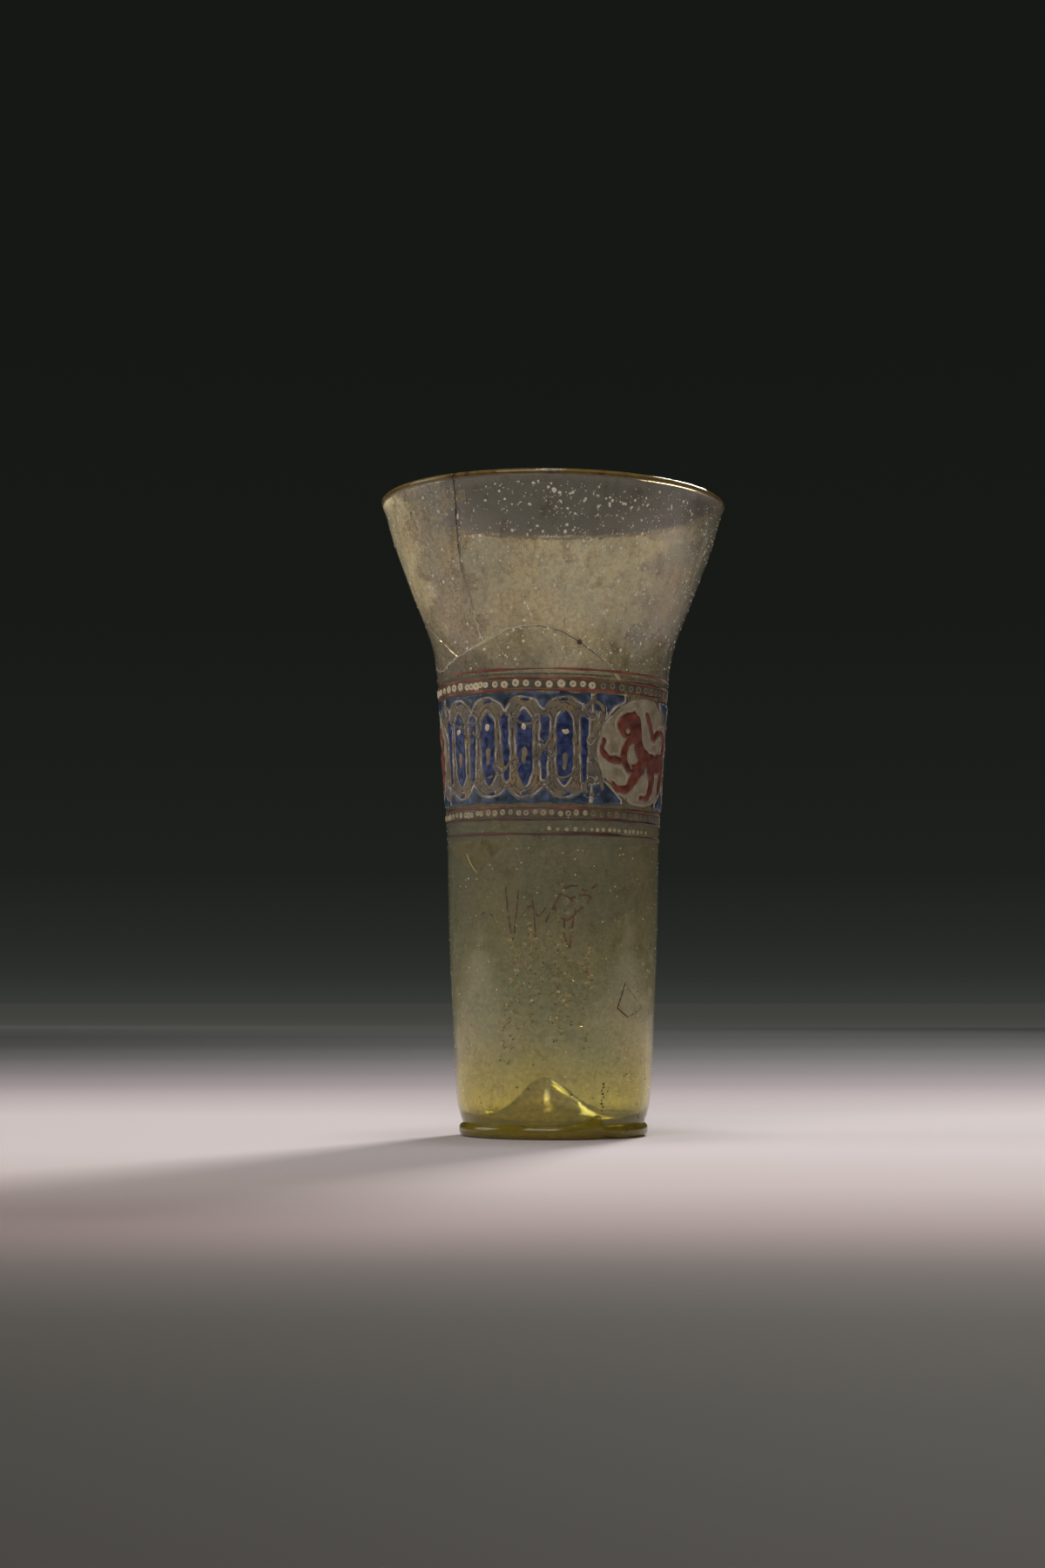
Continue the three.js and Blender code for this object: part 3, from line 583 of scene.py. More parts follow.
# What makes each finish, the name of the real material, and its values
FINISHES = {
    "glass": (
        straw_blown_glass, "straw soda-lime glass, blown", "fffef6", "e4e2cc", 0.855, ("dcd654", 84.0),
        [(6, "fff3a6"), (16, "fff5be"), (26, "fffae0"), (40, "fffae2"), (62, "f0ead4"), (85, "eeeadc")],
        1.0, 0.07, ("fffef4", "f2f8f6", "e8e6de")),
    "flare": (straw_blown_glass, "straw glass, filmed outside", "f4f0e0", "c6baa0", 0.88, (), (), 0.35),
    "flare_inside": (
        straw_blown_glass, "straw glass, filmed inside", "fff7e2", "d6c298", 0.51, (),
        [(124, "beb49a"), (140, "ece2c8"), (160, "fff8e8")], 0.5, 0.6, ("fff2cc", "d0d4be", "b9b5a7")),
    "flare_thin": (
        straw_blown_glass, "straw glass, thinly filmed inside", "fff1d6", "c4ae84", 0.75, (),
        [(124, "c4baa0"), (140, "e8dec4"), (160, "fff8e8")], 0.5, 0.4, ("ffeabc", "c6cab6", "b9b5a7")),
    "rim": (straw_blown_glass, "fire-rounded rim, browner", "a48c52", "54432a", 0.7),
    "trail": (
        straw_blown_glass, "olive soda-lime glass, trailed", "ccb63a", "8a7620", 0.74, ("c4b420", 330.0),
        (), 1.0, 0.26),
    "blister": (straw_blown_glass, "blister in straw glass", "eee2b8", "cfc08e", 0.86, ("d9c83c", 300.0)),
    "flake": (straw_blown_glass, "straw glass, flaked", "f0e6c4", "d8cca0", 0.908, (), (), 1.0, 0.15),
    "blue": (fired_enamel, "cobalt enamel, fired", "0f1731", "1a2b5a", "324479", 1.6, 0.28),
    "contour": (fired_enamel, "tin-white enamel line, fired", "75767a", "9f9b94", "c2bcae", 1.1, 0.4),
    "bead": (fired_enamel, "tin-white enamel beads, fired", "a8977a", "c7b698", "dccdb2", 0.9, 0.38),
    "ground": (fired_enamel, "whitish enamel ground, worn", "75694f", "8b8068", "a09780", 3.5, 0.5),
    "red": (fired_enamel, "iron-red enamel, fired", "45190f", "662a17", "844028", 2.6, 0.36),
    "red_line": (fired_enamel, "iron-red enamel line, rubbed", "401c12", "6b3020", "985a42", 9.0, 0.42),
    "dark_line": (fired_enamel, "iron-red enamel line, dark", "2e1810", "47281a", "5e3a2a", 9.0, 0.42),
    "blue_border": (fired_enamel, "cobalt enamel, thin and greenish", "1c2530", "28394c", "47597a", 3.0, 0.3),
    "bead_low": (fired_enamel, "tin-white enamel beads, yellowed", "7d7155", "9c8f72", "b0a283", 0.9, 0.42),
    "bead_worn": (fired_enamel, "bead rubbed to a film", "6a6049", "7d7258", "94876a", 0.9, 0.5),
    "halo": (fired_enamel, "white enamel round the drawing", "8b8268", "9c927a", "aca28c", 2.0, 0.5),
    "outline": (fired_enamel, "red-brown drawing line, fired", "2a1510", "48281d", "6a4434", 2.0, 0.45),
    "grit": (fired_enamel, "seed and lime crust in the glass", "cfc6b0", "e2dccb", "f0ece0", 0.5, 0.5),
    "trace": (fired_enamel, "red-brown trace of gilt drawing", "3c2416", "553625", "7a5c34", 1.4, 0.5),
    # Also used for the painted highlights over the blisters
    "chip": (fired_enamel, "dull edge of a chip", "4f4a33", "8a8060", "a89e7c", 1.2, 0.3),
    # A painted highlight: the light caught by the flake's edge
    "glint": (fired_enamel, "bright edge of the flake", "7d7029", "a99d44", "d6ca78", 1.0, 0.3),
    # Also used for the painted shade under the blisters
    "soil": (fired_enamel, "brown soil in the pits", "2b1c10", "46301b", "5d4426", 0.5, 0.6),
    "band_ground": (worn_gilding, "gilding of the bead bands, rubbed", "3f3d31", "524d3c", "6d6142"),
    "gilding": (worn_gilding, "gilding, rubbed to its ground", "59564d", "6e6655", "877653"),
    "adhesive": (aged_adhesive, "old adhesive, yellowed", "c9bda0", "a98a50", "2c261a"),
}


# Sizes and lights that a user changes

class BeakerSizes(bpy.types.PropertyGroup):
    """Sizes of the painted work, in metres."""

    red_line_width: bpy.props.FloatProperty(
        name="Red line width", description="Width of each painted ring", default=0.0007, unit="LENGTH")
    line_relief: bpy.props.FloatProperty(
        name="Line relief", description="Height of the red lines", default=0.00016, unit="LENGTH")
    blue_relief: bpy.props.FloatProperty(
        name="Blue relief", description="Height of the blue enamel", default=0.0003, unit="LENGTH")
    bead_radius: bpy.props.FloatProperty(
        name="Bead radius", description="Radius of a white enamel bead", default=0.00105, unit="LENGTH")
    bead_relief: bpy.props.FloatProperty(
        name="Bead relief", description="Height of a bead", default=0.00036, unit="LENGTH")


class BeakerStage(bpy.types.PropertyGroup):
    """Light of the stage."""

    soft_light: bpy.props.FloatProperty(
        name="Soft light", description="Strength of the light from all round", default=0.135, min=0)
    key_light: bpy.props.FloatProperty(
        name="Key light", description="Power of the lamp behind, which the others follow", default=36.5,
        min=0, unit="POWER")


def millimetres(length):
    return length * 1000


# Operators: one for each piece or group of like pieces, and one for the stage

# Shades of the backdrop, from the horizon up
BACKDROP_SHADES = [
    (0.0, "383a37"), (0.039, "2e302d"), (0.092, "262926"), (0.196, "1d201d"), (0.326, "1b1e1a"),
    (0.59, "181a17"), (1.0, "151814"),
]

# Colours of the paper from 0.5 m before the beaker to 2.5 m behind it: a painted pool of light, palest round
# the beaker and falling off to the front and back. Then the far shade from 2.85 m, painted light which makes
# up for the floor there being out of the lamps' reach
FLOOR_PAINTED_LIGHT = [
    (0.0, "2c2924"), (0.02, "302e28"), (0.041, "403b37"), (0.057, "625957"), (0.079, "a29192"),
    (0.105, "c0b3b3"), (0.142, "cbc1c5"), (0.203, "c6bdc0"), (0.25, "afa3a8"), (0.3, "8c8287"),
    (0.363, "6d676b"), (0.46, "4d4c4e"), (0.614, "38383a"), (0.78, "444545"), (0.9, "616363"),
    (1.0, "7d7f7f"),
]
FLOOR_SPAN = (-0.5, 2.5)
FAR_SPAN = (2.5, 2.85)
FAR_PAINTED_LIGHT = "a9aba7"
FLOOR_HALF, FLOOR_NEAR, FLOOR_FAR = 40, -6.0, 60.0
BACKDROP_RISE = 0.27

# Name, place, size and share of the key light
LAMPS = [
    ("back lamp", (0.62, 1.6, 1.3), 0.42, 1.0), ("front lamp", (-0.5, -1.7, 1.4), 1.5, 0.52),
    ("top lamp", (0, 0, 1.9), 0.3, 0.16), ("side lamp", (-1.9, 0.15, 0.8), 1.0, 0.2),
]
AIM_HEIGHT = 0.09
EYE = (0, -0.6626, 0.03548)
EYE_TILT, EYE_TURN = 95.0537, 0.713


class BEAKER_OT_stage(bpy.types.Operator):
    """Floor, backdrop, lamps and camera"""

    bl_idname = "beaker.stage"
    bl_label = "Stage"

    def execute(self, context):
        stage = context.scene.beaker_stage
        self.lay_floor()
        self.hang_backdrop(context, stage.soft_light)
        self.hang_lamps(stage.key_light)
        self.set_camera(context)
        context.scene.view_settings.view_transform = "Standard"
        return {"FINISHED"}

    def lay_floor(self):
        """One sweep of matt paper with a painted pool of light: pale round the beaker, falling off to the
        front and far to the back.
        """
        mesh = bpy.data.meshes.new("floor")
        corners = [(x, y, 0) for x, y in ((-1, FLOOR_NEAR), (1, FLOOR_NEAR), (1, FLOOR_FAR), (-1, FLOOR_FAR))]
        mesh.from_pydata([(x * FLOOR_HALF, y, z) for x, y, z in corners], [], [(0, 1, 2, 3)])
        floor = linked("floor", mesh)
        material, tree, place = new_material("matt paper sweep with painted light")
        axes = add_node(tree, "SeparateXYZ", [place])
        # The paper's colour by depth is painted light: a pool round the beaker, darker to the front, brighter
        # again far off
        depth = add_node(tree, "MapRange", [(axes, "Y"), *FLOOR_SPAN, 0.0, 1.0])
        shade = add_node(tree, "ValToRGB", [depth], FLOOR_PAINTED_LIGHT)
        distance = add_node(tree, "MapRange", [(axes, "Y"), *FAR_SPAN, 0.0, 1.0])
        paper = add_node(tree, "Mix", {0: distance, 6: shade, 7: linear_rgba(FAR_PAINTED_LIGHT)}, data_type="RGBA")
        shader = add_node(tree, "BsdfPrincipled", {"Base Color": (paper, 2), "Roughness": 0.9})
        mesh.materials.append(surfaced(material, shader))

    def hang_backdrop(self, context, soft_light):
        """Soft light from all round, seen as the dark backdrop by the eye, in gloss and through glass."""
        world = bpy.data.worlds.new("studio")
        context.scene.world = world
        world.use_nodes = True
        tree = world.node_tree
        tree.nodes.clear()
        rays = add_node(tree, "LightPath")
        seen = (rays, "Is Camera Ray")
        for kind in ("Is Glossy Ray", "Is Transmission Ray"):
            seen = add_node(tree, "Math", [seen, (rays, kind)], operation="MAXIMUM")
        soft = add_node(tree, "Background", {"Color": (1.0, 0.97, 0.93, 1.0), "Strength": soft_light})
        direction = add_node(tree, "TexCoord")
        axes = add_node(tree, "SeparateXYZ", [(direction, "Generated")])
        rise = add_node(tree, "MapRange", [(axes, "Z"), 0.0, BACKDROP_RISE, 0.0, 1.0])
        cloth = add_node(tree, "ValToRGB", [rise], BACKDROP_SHADES)
        backdrop = add_node(tree, "Background", {"Color": cloth, "Strength": 1.0})
        mixed = add_node(tree, "MixShader", [seen, soft, backdrop])
        add_node(tree, "OutputWorld", {"Surface": mixed})

    def hang_lamps(self, key_light):
        for name, place, size, share in LAMPS:
            lamp = bpy.data.lights.new(name, "AREA")
            lamp.size = size
            lamp.energy = key_light * share
            lamp.color = (1.0, 0.97, 0.92)
            hung = linked(name, lamp)
            hung.location = place
            aim = -hung.location
            aim.z += AIM_HEIGHT
            hung.rotation_euler = aim.to_track_quat("-Z", "Y").to_euler()

    def set_camera(self, context):
        """Eye 35 mm over the table and 663 mm in front of the axis, tilted up by 5 degrees."""
        lens = bpy.data.cameras.new("camera")
        lens.sensor_width = 36.0
        lens.lens = 56.54
        lens.clip_start = 0.01
        lens.clip_end = 50
        camera = linked("camera", lens)
        camera.location = EYE
        camera.rotation_euler = (math.radians(EYE_TILT), 0, math.radians(EYE_TURN))
        context.scene.camera = camera


# Glass

WALL_THICKNESS = (1.7, 1.2)
RIM_MIDDLE = (45.9, 169.75)
RIM_HALF = 0.92
ADHESIVE_WIDTH = 0.3
CRACK_WIDTH = 0.13
JOIN_GAP = 0.02
BLADE_REACH = (-6, 8)
LEAST_PIECE, LEAST_FILLING = 20, 0.05
# Where the film of the flare starts, in millimetres up, the azimuth of its middle, and how far in degrees
# its thick and its thin part reach from there
FILM_FOOT = 120.6
FILM_MIDDLE = -142.0
FILM_THICK, FILM_THIN = 80, 106
RIM_FOOT = 168.75
HALF_WALL = 0.65
GLASS_KEYS = "glass flare flare_inside rim flare_thin"
# Breaks as azimuths in degrees and shares of the way from the band to the mouth
OVER_RIM = 1.1
JUNCTION = (-35.0, 0.135)
FORK = (-53.0, 0.067)
MEETING = (-97.0, 0.317)
LONG_BREAK = [
    (-112.0, OVER_RIM), (-106.0, 0.62), MEETING, (-88.0, 0.11), (-73.0, 0.013), FORK, JUNCTION,
    (-24.0, 0.187), (-9.0, 0.213), (4.0, 0.187), (20.0, 0.078), (32.0, -0.03), (40.0, -0.165),
]
RIM_JOIN = [(-33.0, OVER_RIM), (-34.5, 0.85), (-37.3, 0.578), (-37.2, 0.317), JUNCTION]
SHORT_CRACK = [FORK, (-62.0, 0.141), (-79.0, 0.274), MEETING]
BREAKS = ((LONG_BREAK, ADHESIVE_WIDTH, 150), (RIM_JOIN, ADHESIVE_WIDTH, 50), (SHORT_CRACK, CRACK_WIDTH, 50))


def kick_height(radius, lift):
    """Height of the kick's dome at a radius, over a lift."""
    share = min(radius / BASE_RADIUS, 1)
    dome = math.exp(-((share / 0.46) ** 2)) * KICK_BLUNTNESS + (1 - share) ** 1.15 * (1 - KICK_BLUNTNESS)
    return lift + (KICK_HEIGHT - BASE_GLASS - BASE_HEIGHT) * dome


def body_profile():
    """Half section of the blown body: kick underside, foot, wall, fire-rounded lip, inside and floor."""
    under = [(r, kick_height(r, BASE_HEIGHT)) for r in np.linspace(0, BASE_RADIUS, UNDER_STEPS)]
    wall = [(float(blown_radius(z)), z) for z in np.linspace(FOOT_HEIGHT, MOUTH_HEIGHT, 120)]
    lip = [(RIM_MIDDLE[0] + RIM_HALF * math.cos(turn), RIM_MIDDLE[1] + RIM_HALF * math.sin(turn))
           for turn in np.linspace(math.radians(-42), math.radians(205), 15)]
    inner = []
    for z in np.linspace(MOUTH_HEIGHT - 0.9, WALL_STATIONS[1][0], 110):
        share = (z - FOOT_HEIGHT) / (MOUTH_HEIGHT - FOOT_HEIGHT)
        thickness = WALL_THICKNESS[0] + (WALL_THICKNESS[1] - WALL_THICKNESS[0]) * share
        inner.append((float(blown_radius(z)) - thickness, z))
    turn_in = [(BASE_RADIUS + 1.2, 6.9), (BASE_RADIUS + 0.4, 5.4)]
    floor = [(r, kick_height(r, BASE_HEIGHT + BASE_GLASS))
             for r in np.linspace(BASE_RADIUS * 0.94, 0, UNDER_STEPS)]
    return under + wall[:-1] + lip + inner + turn_in + floor


def separate_pieces(piece):
    """Loose parts of a mesh as volume, vertices and faces, largest volume first."""
    mesh = piece.data
    parent = list(range(len(mesh.vertices)))

    def root(v):
        while parent[v] != v:
            parent[v] = parent[parent[v]]
            v = parent[v]
        return v

    for edge in mesh.edges:
        a, b = root(edge.vertices[0]), root(edge.vertices[1])
        if a != b:
            parent[a] = b
    groups = {}
    for face in mesh.polygons:
        groups.setdefault(root(face.vertices[0]), []).append(tuple(face.vertices))
    places = np.array([v.co for v in mesh.vertices])
    loose = []
    for faces in groups.values():
        used = sorted({v for face in faces for v in face})
        number = {v: i for i, v in enumerate(used)}
        verts = places[used]
        renumbered = [tuple(number[v] for v in face) for face in faces]
        volume = 0.0
        for first, *rest in renumbered:
            for second, third in zip(rest[:-1], rest[1:]):
                volume += np.dot(verts[first], np.cross(verts[second], verts[third])) / 6
        loose.append((volume, verts, renumbered))
    return sorted(loose, key=lambda part: -part[0])


def millimetre_object(name, verts, faces):
    """A mesh object in plain millimetres, used while pieces are cut. It is removed afterwards."""
    mesh = bpy.data.meshes.new(name)
    mesh.from_pydata(np.asarray(verts).tolist(), [], faces)
    mesh.update()
    return linked(name, mesh)


def combined(base, tool, operation):
    """The base mesh after a boolean with the tool, as a new millimetre object."""
    cut = base.modifiers.new("cut", "BOOLEAN")
    cut.operation = operation
    cut.solver = "MANIFOLD"
    cut.object = tool
    bpy.context.view_layer.update()
    evaluated = base.evaluated_get(bpy.context.evaluated_depsgraph_get())
    mesh = bpy.data.meshes.new_from_object(evaluated)
    base.modifiers.remove(cut)
    if not len(mesh.polygons):
        raise RuntimeError("a cut came out empty: " + base.name)
    return linked(base.name + " cut", mesh)


def discard(*objects):
    for made in objects:
        mesh = made.data
        bpy.data.objects.remove(made)
        bpy.data.meshes.remove(mesh)


def glass_slots(verts, faces):
    """Slots of the body's faces, in the order of GLASS_KEYS. The film inside is thickest at the back left
    and thins out on both sides towards the front."""
    slots = []
    places = np.asarray(verts)
    for face in faces:
        x, y, z = places[list(face)].mean(axis=0)
        azimuth = math.atan2(x, -y)
        if z < FILM_FOOT:
            slots.append(0)
        elif z > RIM_FOOT:
            slots.append(3)
        else:
            inside = math.hypot(x, y) < wall_radius(azimuth, z) - HALF_WALL
            turn = (math.degrees(azimuth) - FILM_MIDDLE + 180) % 360 - 180
            reach = abs(turn) + 6 * math.sin(z * 0.6)
            slots.append(2 if inside and reach < FILM_THICK else 4 if inside and reach < FILM_THIN else 1)
    return slots


def break_blade(stations, width, steps):
    """A thin wandering blade through the wall along a break, from inside the cup to outside it."""
    route = rounded_route(
        [(math.radians(a), BAND_TOP + share * (MOUTH_HEIGHT - BAND_TOP)) for a, share in stations], steps)
    azimuth, height = route[:, 0], route[:, 1]
    radius = wall_radius(azimuth, np.minimum(height, MOUTH_HEIGHT))
    along = np.gradient(np.stack([azimuth * radius, height], axis=1), axis=0)
    along /= np.linalg.norm(along, axis=1, keepdims=True)
    jag = waver(int(width * 100), 3.5)(azimuth * 30, height) * 0.12
    inner, outer = BLADE_REACH
    rings = []
    for a, z, r, way, side in zip(azimuth, height, radius, along, jag):
        ring = []
        for reach, half in ((inner, 1), (inner, -1), (outer, -1), (outer, 1)):
            shift = half * width / 2 + side
            ring.append(around(a - way[1] * shift / r, r + reach, z + way[0] * shift)[0])
        rings.append(ring)
    return swept(np.array(rings), False)


def all_blades(extra):
    """The three breaks as one solid."""
    blades = [millimetre_object("blade", *break_blade(stations, width + extra, steps))
              for stations, width, steps in BREAKS]
    two = combined(blades[0], blades[1], "UNION")
    three = combined(two, blades[2], "UNION")
    discard(*blades, two)
    return three


class BEAKER_OT_glass(bpy.types.Operator):
    """Blown body with its two rejoined fragments and the adhesive in the joins"""

    bl_idname = "beaker.glass"
    bl_label = "Blown glass"

    def execute(self, context):
        gather = turned(body_profile(), WALL_STEPS, hand_factor)
        whole = millimetre_object("blown gather", *self.pushed_in(*gather))
        gap = all_blades(JOIN_GAP)
        filling = all_blades(0.0)
        broken = combined(whole, gap, "DIFFERENCE")
        joined = combined(whole, filling, "INTERSECT")
        parts = [part for part in separate_pieces(broken) if part[0] > LEAST_PIECE]
        if len(parts) != 3:
            raise RuntimeError("the wall parted into %d pieces instead of three" % len(parts))
        names = (
            ("body_glass", "blown_body"), ("rim_fragment", "rim_shard"),
            ("shoulder_fragment", "shoulder_shard"),
        )
        for (volume, verts, faces), (name, node) in zip(parts, names):
            add_object(name, verts, faces, GLASS_KEYS, glass_slots(verts, faces), 28, node)
        glue = Parts()
        for volume, verts, faces in separate_pieces(joined):
            if volume > LEAST_FILLING:
                glue.add(verts, faces)
        glue.build("old_joins", "adhesive", "join_adhesive")
        discard(whole, gap, filling, broken, joined)
        return {"FINISHED"}

    def pushed_in(self, verts, faces):
        """The kick as the iron pushed it in: its tip a little left of the axis."""
        verts = np.array(verts)
        away = np.hypot(verts[:, 0], verts[:, 1])
        kick = (verts[:, 2] < KICK_HEIGHT + 1) & (away < BASE_RADIUS)
        verts[kick, 0] -= KICK_ASIDE * smoothstep(BASE_RADIUS * 0.85, 2, away[kick])
        return verts, faces


# Foot trail

TRAIL_INNER = 20.1
TRAIL_OUTER = 25.4
TRAIL_HEIGHT = 4.0
TRAIL_FIT = 0.1


def tongue_share(degrees):
    """How far the lapped end of the thread has risen, from 0 beside it to 1 at its tip."""
    return float(smoothstep(8, 29, degrees) if degrees <= 29 else 1 - smoothstep(29.4, 32, degrees))


class BEAKER_OT_foot_trail(bpy.types.Operator):
    """Thread of darker glass wound round the base, its end lapped over its start"""

    bl_idname = "beaker.foot_trail"
    bl_label = "Foot trail"

    def execute(self, context):
        rings = np.array([around(azimuth, *self.section(azimuth)) for azimuth in full_turn(TRAIL_STEPS)])
        thread = millimetre_object("thread", *swept(rings, True))
        seat = millimetre_object("seat", *turned(self.seat_profile(), SEAT_STEPS))
        seated = combined(thread, seat, "DIFFERENCE")
        volume, verts, faces = separate_pieces(seated)[0]
        add_object("wound_foot_trail", verts, faces, "trail", None, 40, "foot_trail")
        discard(thread, seat, seated)
        return {"FINISHED"}

    def section(self, azimuth):
        """Radii and heights of the thread's rounded section at an azimuth."""
        degrees = math.degrees(azimuth)
        share = tongue_share(degrees)
        lobe = float(smoothstep(33, 48, degrees) * (1 - smoothstep(60, 84, degrees)))
        lift = 0.6 * math.exp(-((degrees - 34) / 7) ** 2)
        sway = float(waver(31, 26)(azimuth * TRAIL_OUTER, 0))
        top = TRAIL_HEIGHT - 0.12 + 2.3 * share + 0.14 * lobe + 0.1 * sway
        outer = TRAIL_OUTER - 0.22 + 0.3 * share + 0.2 * lobe + 0.06 * sway
        across, up = np.cos(full_turn(32)), np.sin(full_turn(32))
        middle, half = (outer + TRAIL_INNER) / 2, (outer - TRAIL_INNER) / 2
        radii = middle + half * np.sign(across) * np.abs(across) ** 0.8
        heights = (top + lift) / 2 + (top - lift) / 2 * np.sign(up) * np.abs(up) ** 0.8
        climb = np.clip((heights - TRAIL_HEIGHT + 1.2) / 3.5, 0, 1) * share
        against_wall = blown_radius(np.maximum(heights, FOOT_HEIGHT)) + 0.5
        return radii * (1 - climb) + np.maximum(radii, against_wall) * climb, heights

    def seat_profile(self):
        """The underside and foot of the body over the trail, grown by the fit between them."""
        under = [(r, z - TRAIL_FIT) for r, z in body_profile()[:UNDER_STEPS]]
        wall = [(float(blown_radius(z)) + TRAIL_FIT, z) for z in np.linspace(FOOT_HEIGHT, 20, 16)]
        return under + wall + [(0, 24)]


# Painted rings

class BEAKER_OT_red_lines(bpy.types.Operator):
    """Six rings of iron-red enamel, drawn by hand on the turning beaker"""

    bl_idname = "beaker.red_lines"
    bl_label = "Red lines"

    def execute(self, context):
        sizes = context.scene.beaker_sizes
        half = millimetres(sizes.red_line_width) / 2
        relief = millimetres(sizes.line_relief)
        for index, height in enumerate(LINE_HEIGHTS):
            ring = Parts()
            ring.add(*ring_stroke(height, half * (0.82 + 0.1 * (index % 3)), relief, 70 + index))
            finish = "red_line" if index < 4 else "dark_line"
            ring.build("painted_ring_%d" % (index + 1), finish, "red_line_%d" % (index + 1))
        return {"FINISHED"}


def gilt_ring(bottom, top, seed):
    """Thin film of gilding between two lines, its edges uneven."""
    lift = np.array([0.03, 0.1, 0.1, 0.03, 0.0, 0.0])
    edge = waver(seed, 5)
    rings = []
    for a in full_turn(GILT_STEPS):
        low = bottom + 0.12 * float(edge(a * R_MIDDLE, 0))
        high = top + 0.12 * float(edge(a * R_MIDDLE, 40))
        z = np.array([low, low + 0.3, high - 0.3, high, high, low])
        rings.append(around(a, wall_radius(a, z) + SKIN + lift, z))
    return swept(np.array(rings), True)


def bead(s, z, width, tall, relief, dimple, turn_shift=0.0):
    """A drop of enamel that sank at its middle as it was fired: a low ring with a dimple."""
    sunk = 0.02
    shape = [
        (1.0, 0.0), (0.93, 0.55), (0.78, 0.95), (0.6, 1.0), (0.42, 1.0 - 0.6 * dimple), (0.2, 1.0 - dimple),
    ]
    turns = turn_shift - full_turn(14)
    rings = [on_wall(s + reach * width * np.cos(turns), z + reach * tall * np.sin(turns), lift)
             for reach, lift in [(0.9, -sunk)] + [(reach, lift * relief) for reach, lift in shape]]
    return domed(rings, on_wall(s, z, -sunk), on_wall(s, z, relief * (1 - dimple)))


class BEAKER_OT_bead_bands(bpy.types.Operator):
    """Rows of white enamel beads on gilt bands over and under the frieze"""

    bl_idname = "beaker.bead_bands"
    bl_label = "Bead bands"

    def execute(self, context):
        sizes = context.scene.beaker_sizes
        radius = millimetres(sizes.bead_radius)
        relief = millimetres(sizes.bead_relief)
        bands = (
            ("upper", LINE_HEIGHTS[2], LINE_HEIGHTS[1], 11, 0.96, "bead"),
            ("lower", LINE_HEIGHTS[4], LINE_HEIGHTS[3], 12, 0.8, "bead_low"),
        )
        for word, bottom, top, seed, share, finish in bands:
            row = Parts()
            row.add(*gilt_ring(bottom + 0.4, top - 0.4, seed))
            self.lay_beads(row, (bottom + top) / 2, radius * share, relief * share, seed)
            finishes = "band_ground %s bead_worn" % finish
            row.build(word + "_bead_row", finishes, "bead_band_" + word)
        small = Parts()
        self.lay_small_row(small)
        small.build("third_bead_row", "bead_low")
        return {"FINISHED"}

    def lay_beads(self, row, middle, radius, relief, seed):
        """Beads stand about a bead apart, closer and doubled at the left, rubbed thin to the right."""
        source = np.random.default_rng(seed)
        s = -math.pi * R_MIDDLE + 1.0
        while s < math.pi * R_MIDDLE - 1.6:
            degrees = math.degrees(s / R_MIDDLE)
            worn = 20 < degrees < 115
            size = radius * source.uniform(0.84, 1.12)
            height = relief * (0.4 if worn else source.uniform(0.8, 1.15))
            z = middle + source.uniform(-0.22, 0.22)
            dimple = source.uniform(0.35, 0.8)
            tall = size * source.uniform(0.94, 1.08)
            row.add(*bead(s, z, size, tall, height, dimple, source.uniform(0, 1)), slot=2 if worn else 1)
            heart = size * source.uniform(0.25, 0.45)
            row.add(*bead(s + 0.1, z, heart, heart, height * (1.1 - dimple), 0.1), slot=2)
            doubled = -70 < degrees < -25 and source.random() < 0.3
            step = 1.45 if doubled else source.uniform(2.35, 3.05)
            s += step * radius / 1.05 + 0.15

    def lay_small_row(self, small):
        """A few small beads over the lowest line, to the right of the front."""
        source = np.random.default_rng(13)
        s = s_of(-2)
        while s < s_of(62):
            size = source.uniform(0.42, 0.62)
            small.add(*bead(s, LINE_HEIGHTS[5] + 1.3 + source.uniform(-0.12, 0.12), size, size, 0.16, 0.4))
            s += source.uniform(1.5, 2.5)


# Frieze: straps of gilding with blue fields between them, and roundels

def oval_field(middle, grow):
    """A roundel's oval, a little wider than high, grown by a margin."""
    reach, rise = ROUNDEL_REACH + grow, ROUNDEL_RISE + grow
    return lambda s, z: (np.hypot((s - middle) / reach, (z - FRIEZE_MIDDLE) / rise) - 1) * rise


def stretch_ends(name):
    """Middles of the roundels at the ends of a stretch, in millimetres round the frieze."""
    right, left = ROUNDEL_AZIMUTHS
    return (s_of(left), s_of(right)) if name == "front" else (s_of(right), s_of(left + 360))


def clear_of_roundels(field, name, margin):
    return without(field, *[oval_field(middle, margin) for middle in stretch_ends(name)])


def bay_places(name):
    """Places of the slots and the pointed panels of a stretch."""
    first, last = stretch_ends(name)
    start = first + ROUNDEL_REACH + FIELD_MARGIN
    end = last - ROUNDEL_REACH - FIELD_MARGIN
    facet = (end - start) / (2 * BAYS[name] + 1)
    slots = [start + facet * (2 * bay + 0.5) for bay in range(BAYS[name] + 1)]
    panels = [start + facet * (2 * bay + 1.5) for bay in range(BAYS[name])]
    return slots, panels


def slot_field(s, seed):
    """A tapered slot with round ends, a little askew as a brush leaves it."""
    source = np.random.default_rng(seed)
    tilt = source.uniform(-0.4, 0.4)
    foot, head = source.uniform(7.4, 8.4), source.uniform(7.0, 8.0)
    route = [(s - tilt, FRIEZE_MIDDLE - foot), (s + tilt, FRIEZE_MIDDLE + head)]
    widths = [source.uniform(0.6, 0.85), source.uniform(1.1, 1.35)]
    return shaken(stroke_field(route, widths), seed, 5.0, 0.12)


PANEL_HALF = [(0, -9.8), (1.5, -7.9), (2.1, -5.7), (2.15, 0), (2.2, 5.9), (1.5, 8.1), (0, 9.8)]


def panel_field(s, seed):
    """A panel pointed at both ends, its sides swaying by hand."""
    right = [(s + x, FRIEZE_MIDDLE + z) for x, z in PANEL_HALF]
    left = [(s - x, FRIEZE_MIDDLE + z) for x, z in PANEL_HALF[-2:0:-1]]
    return shaken(outline_field(rounded_route(right + left, 48, True)), seed, 5.0, 0.14)


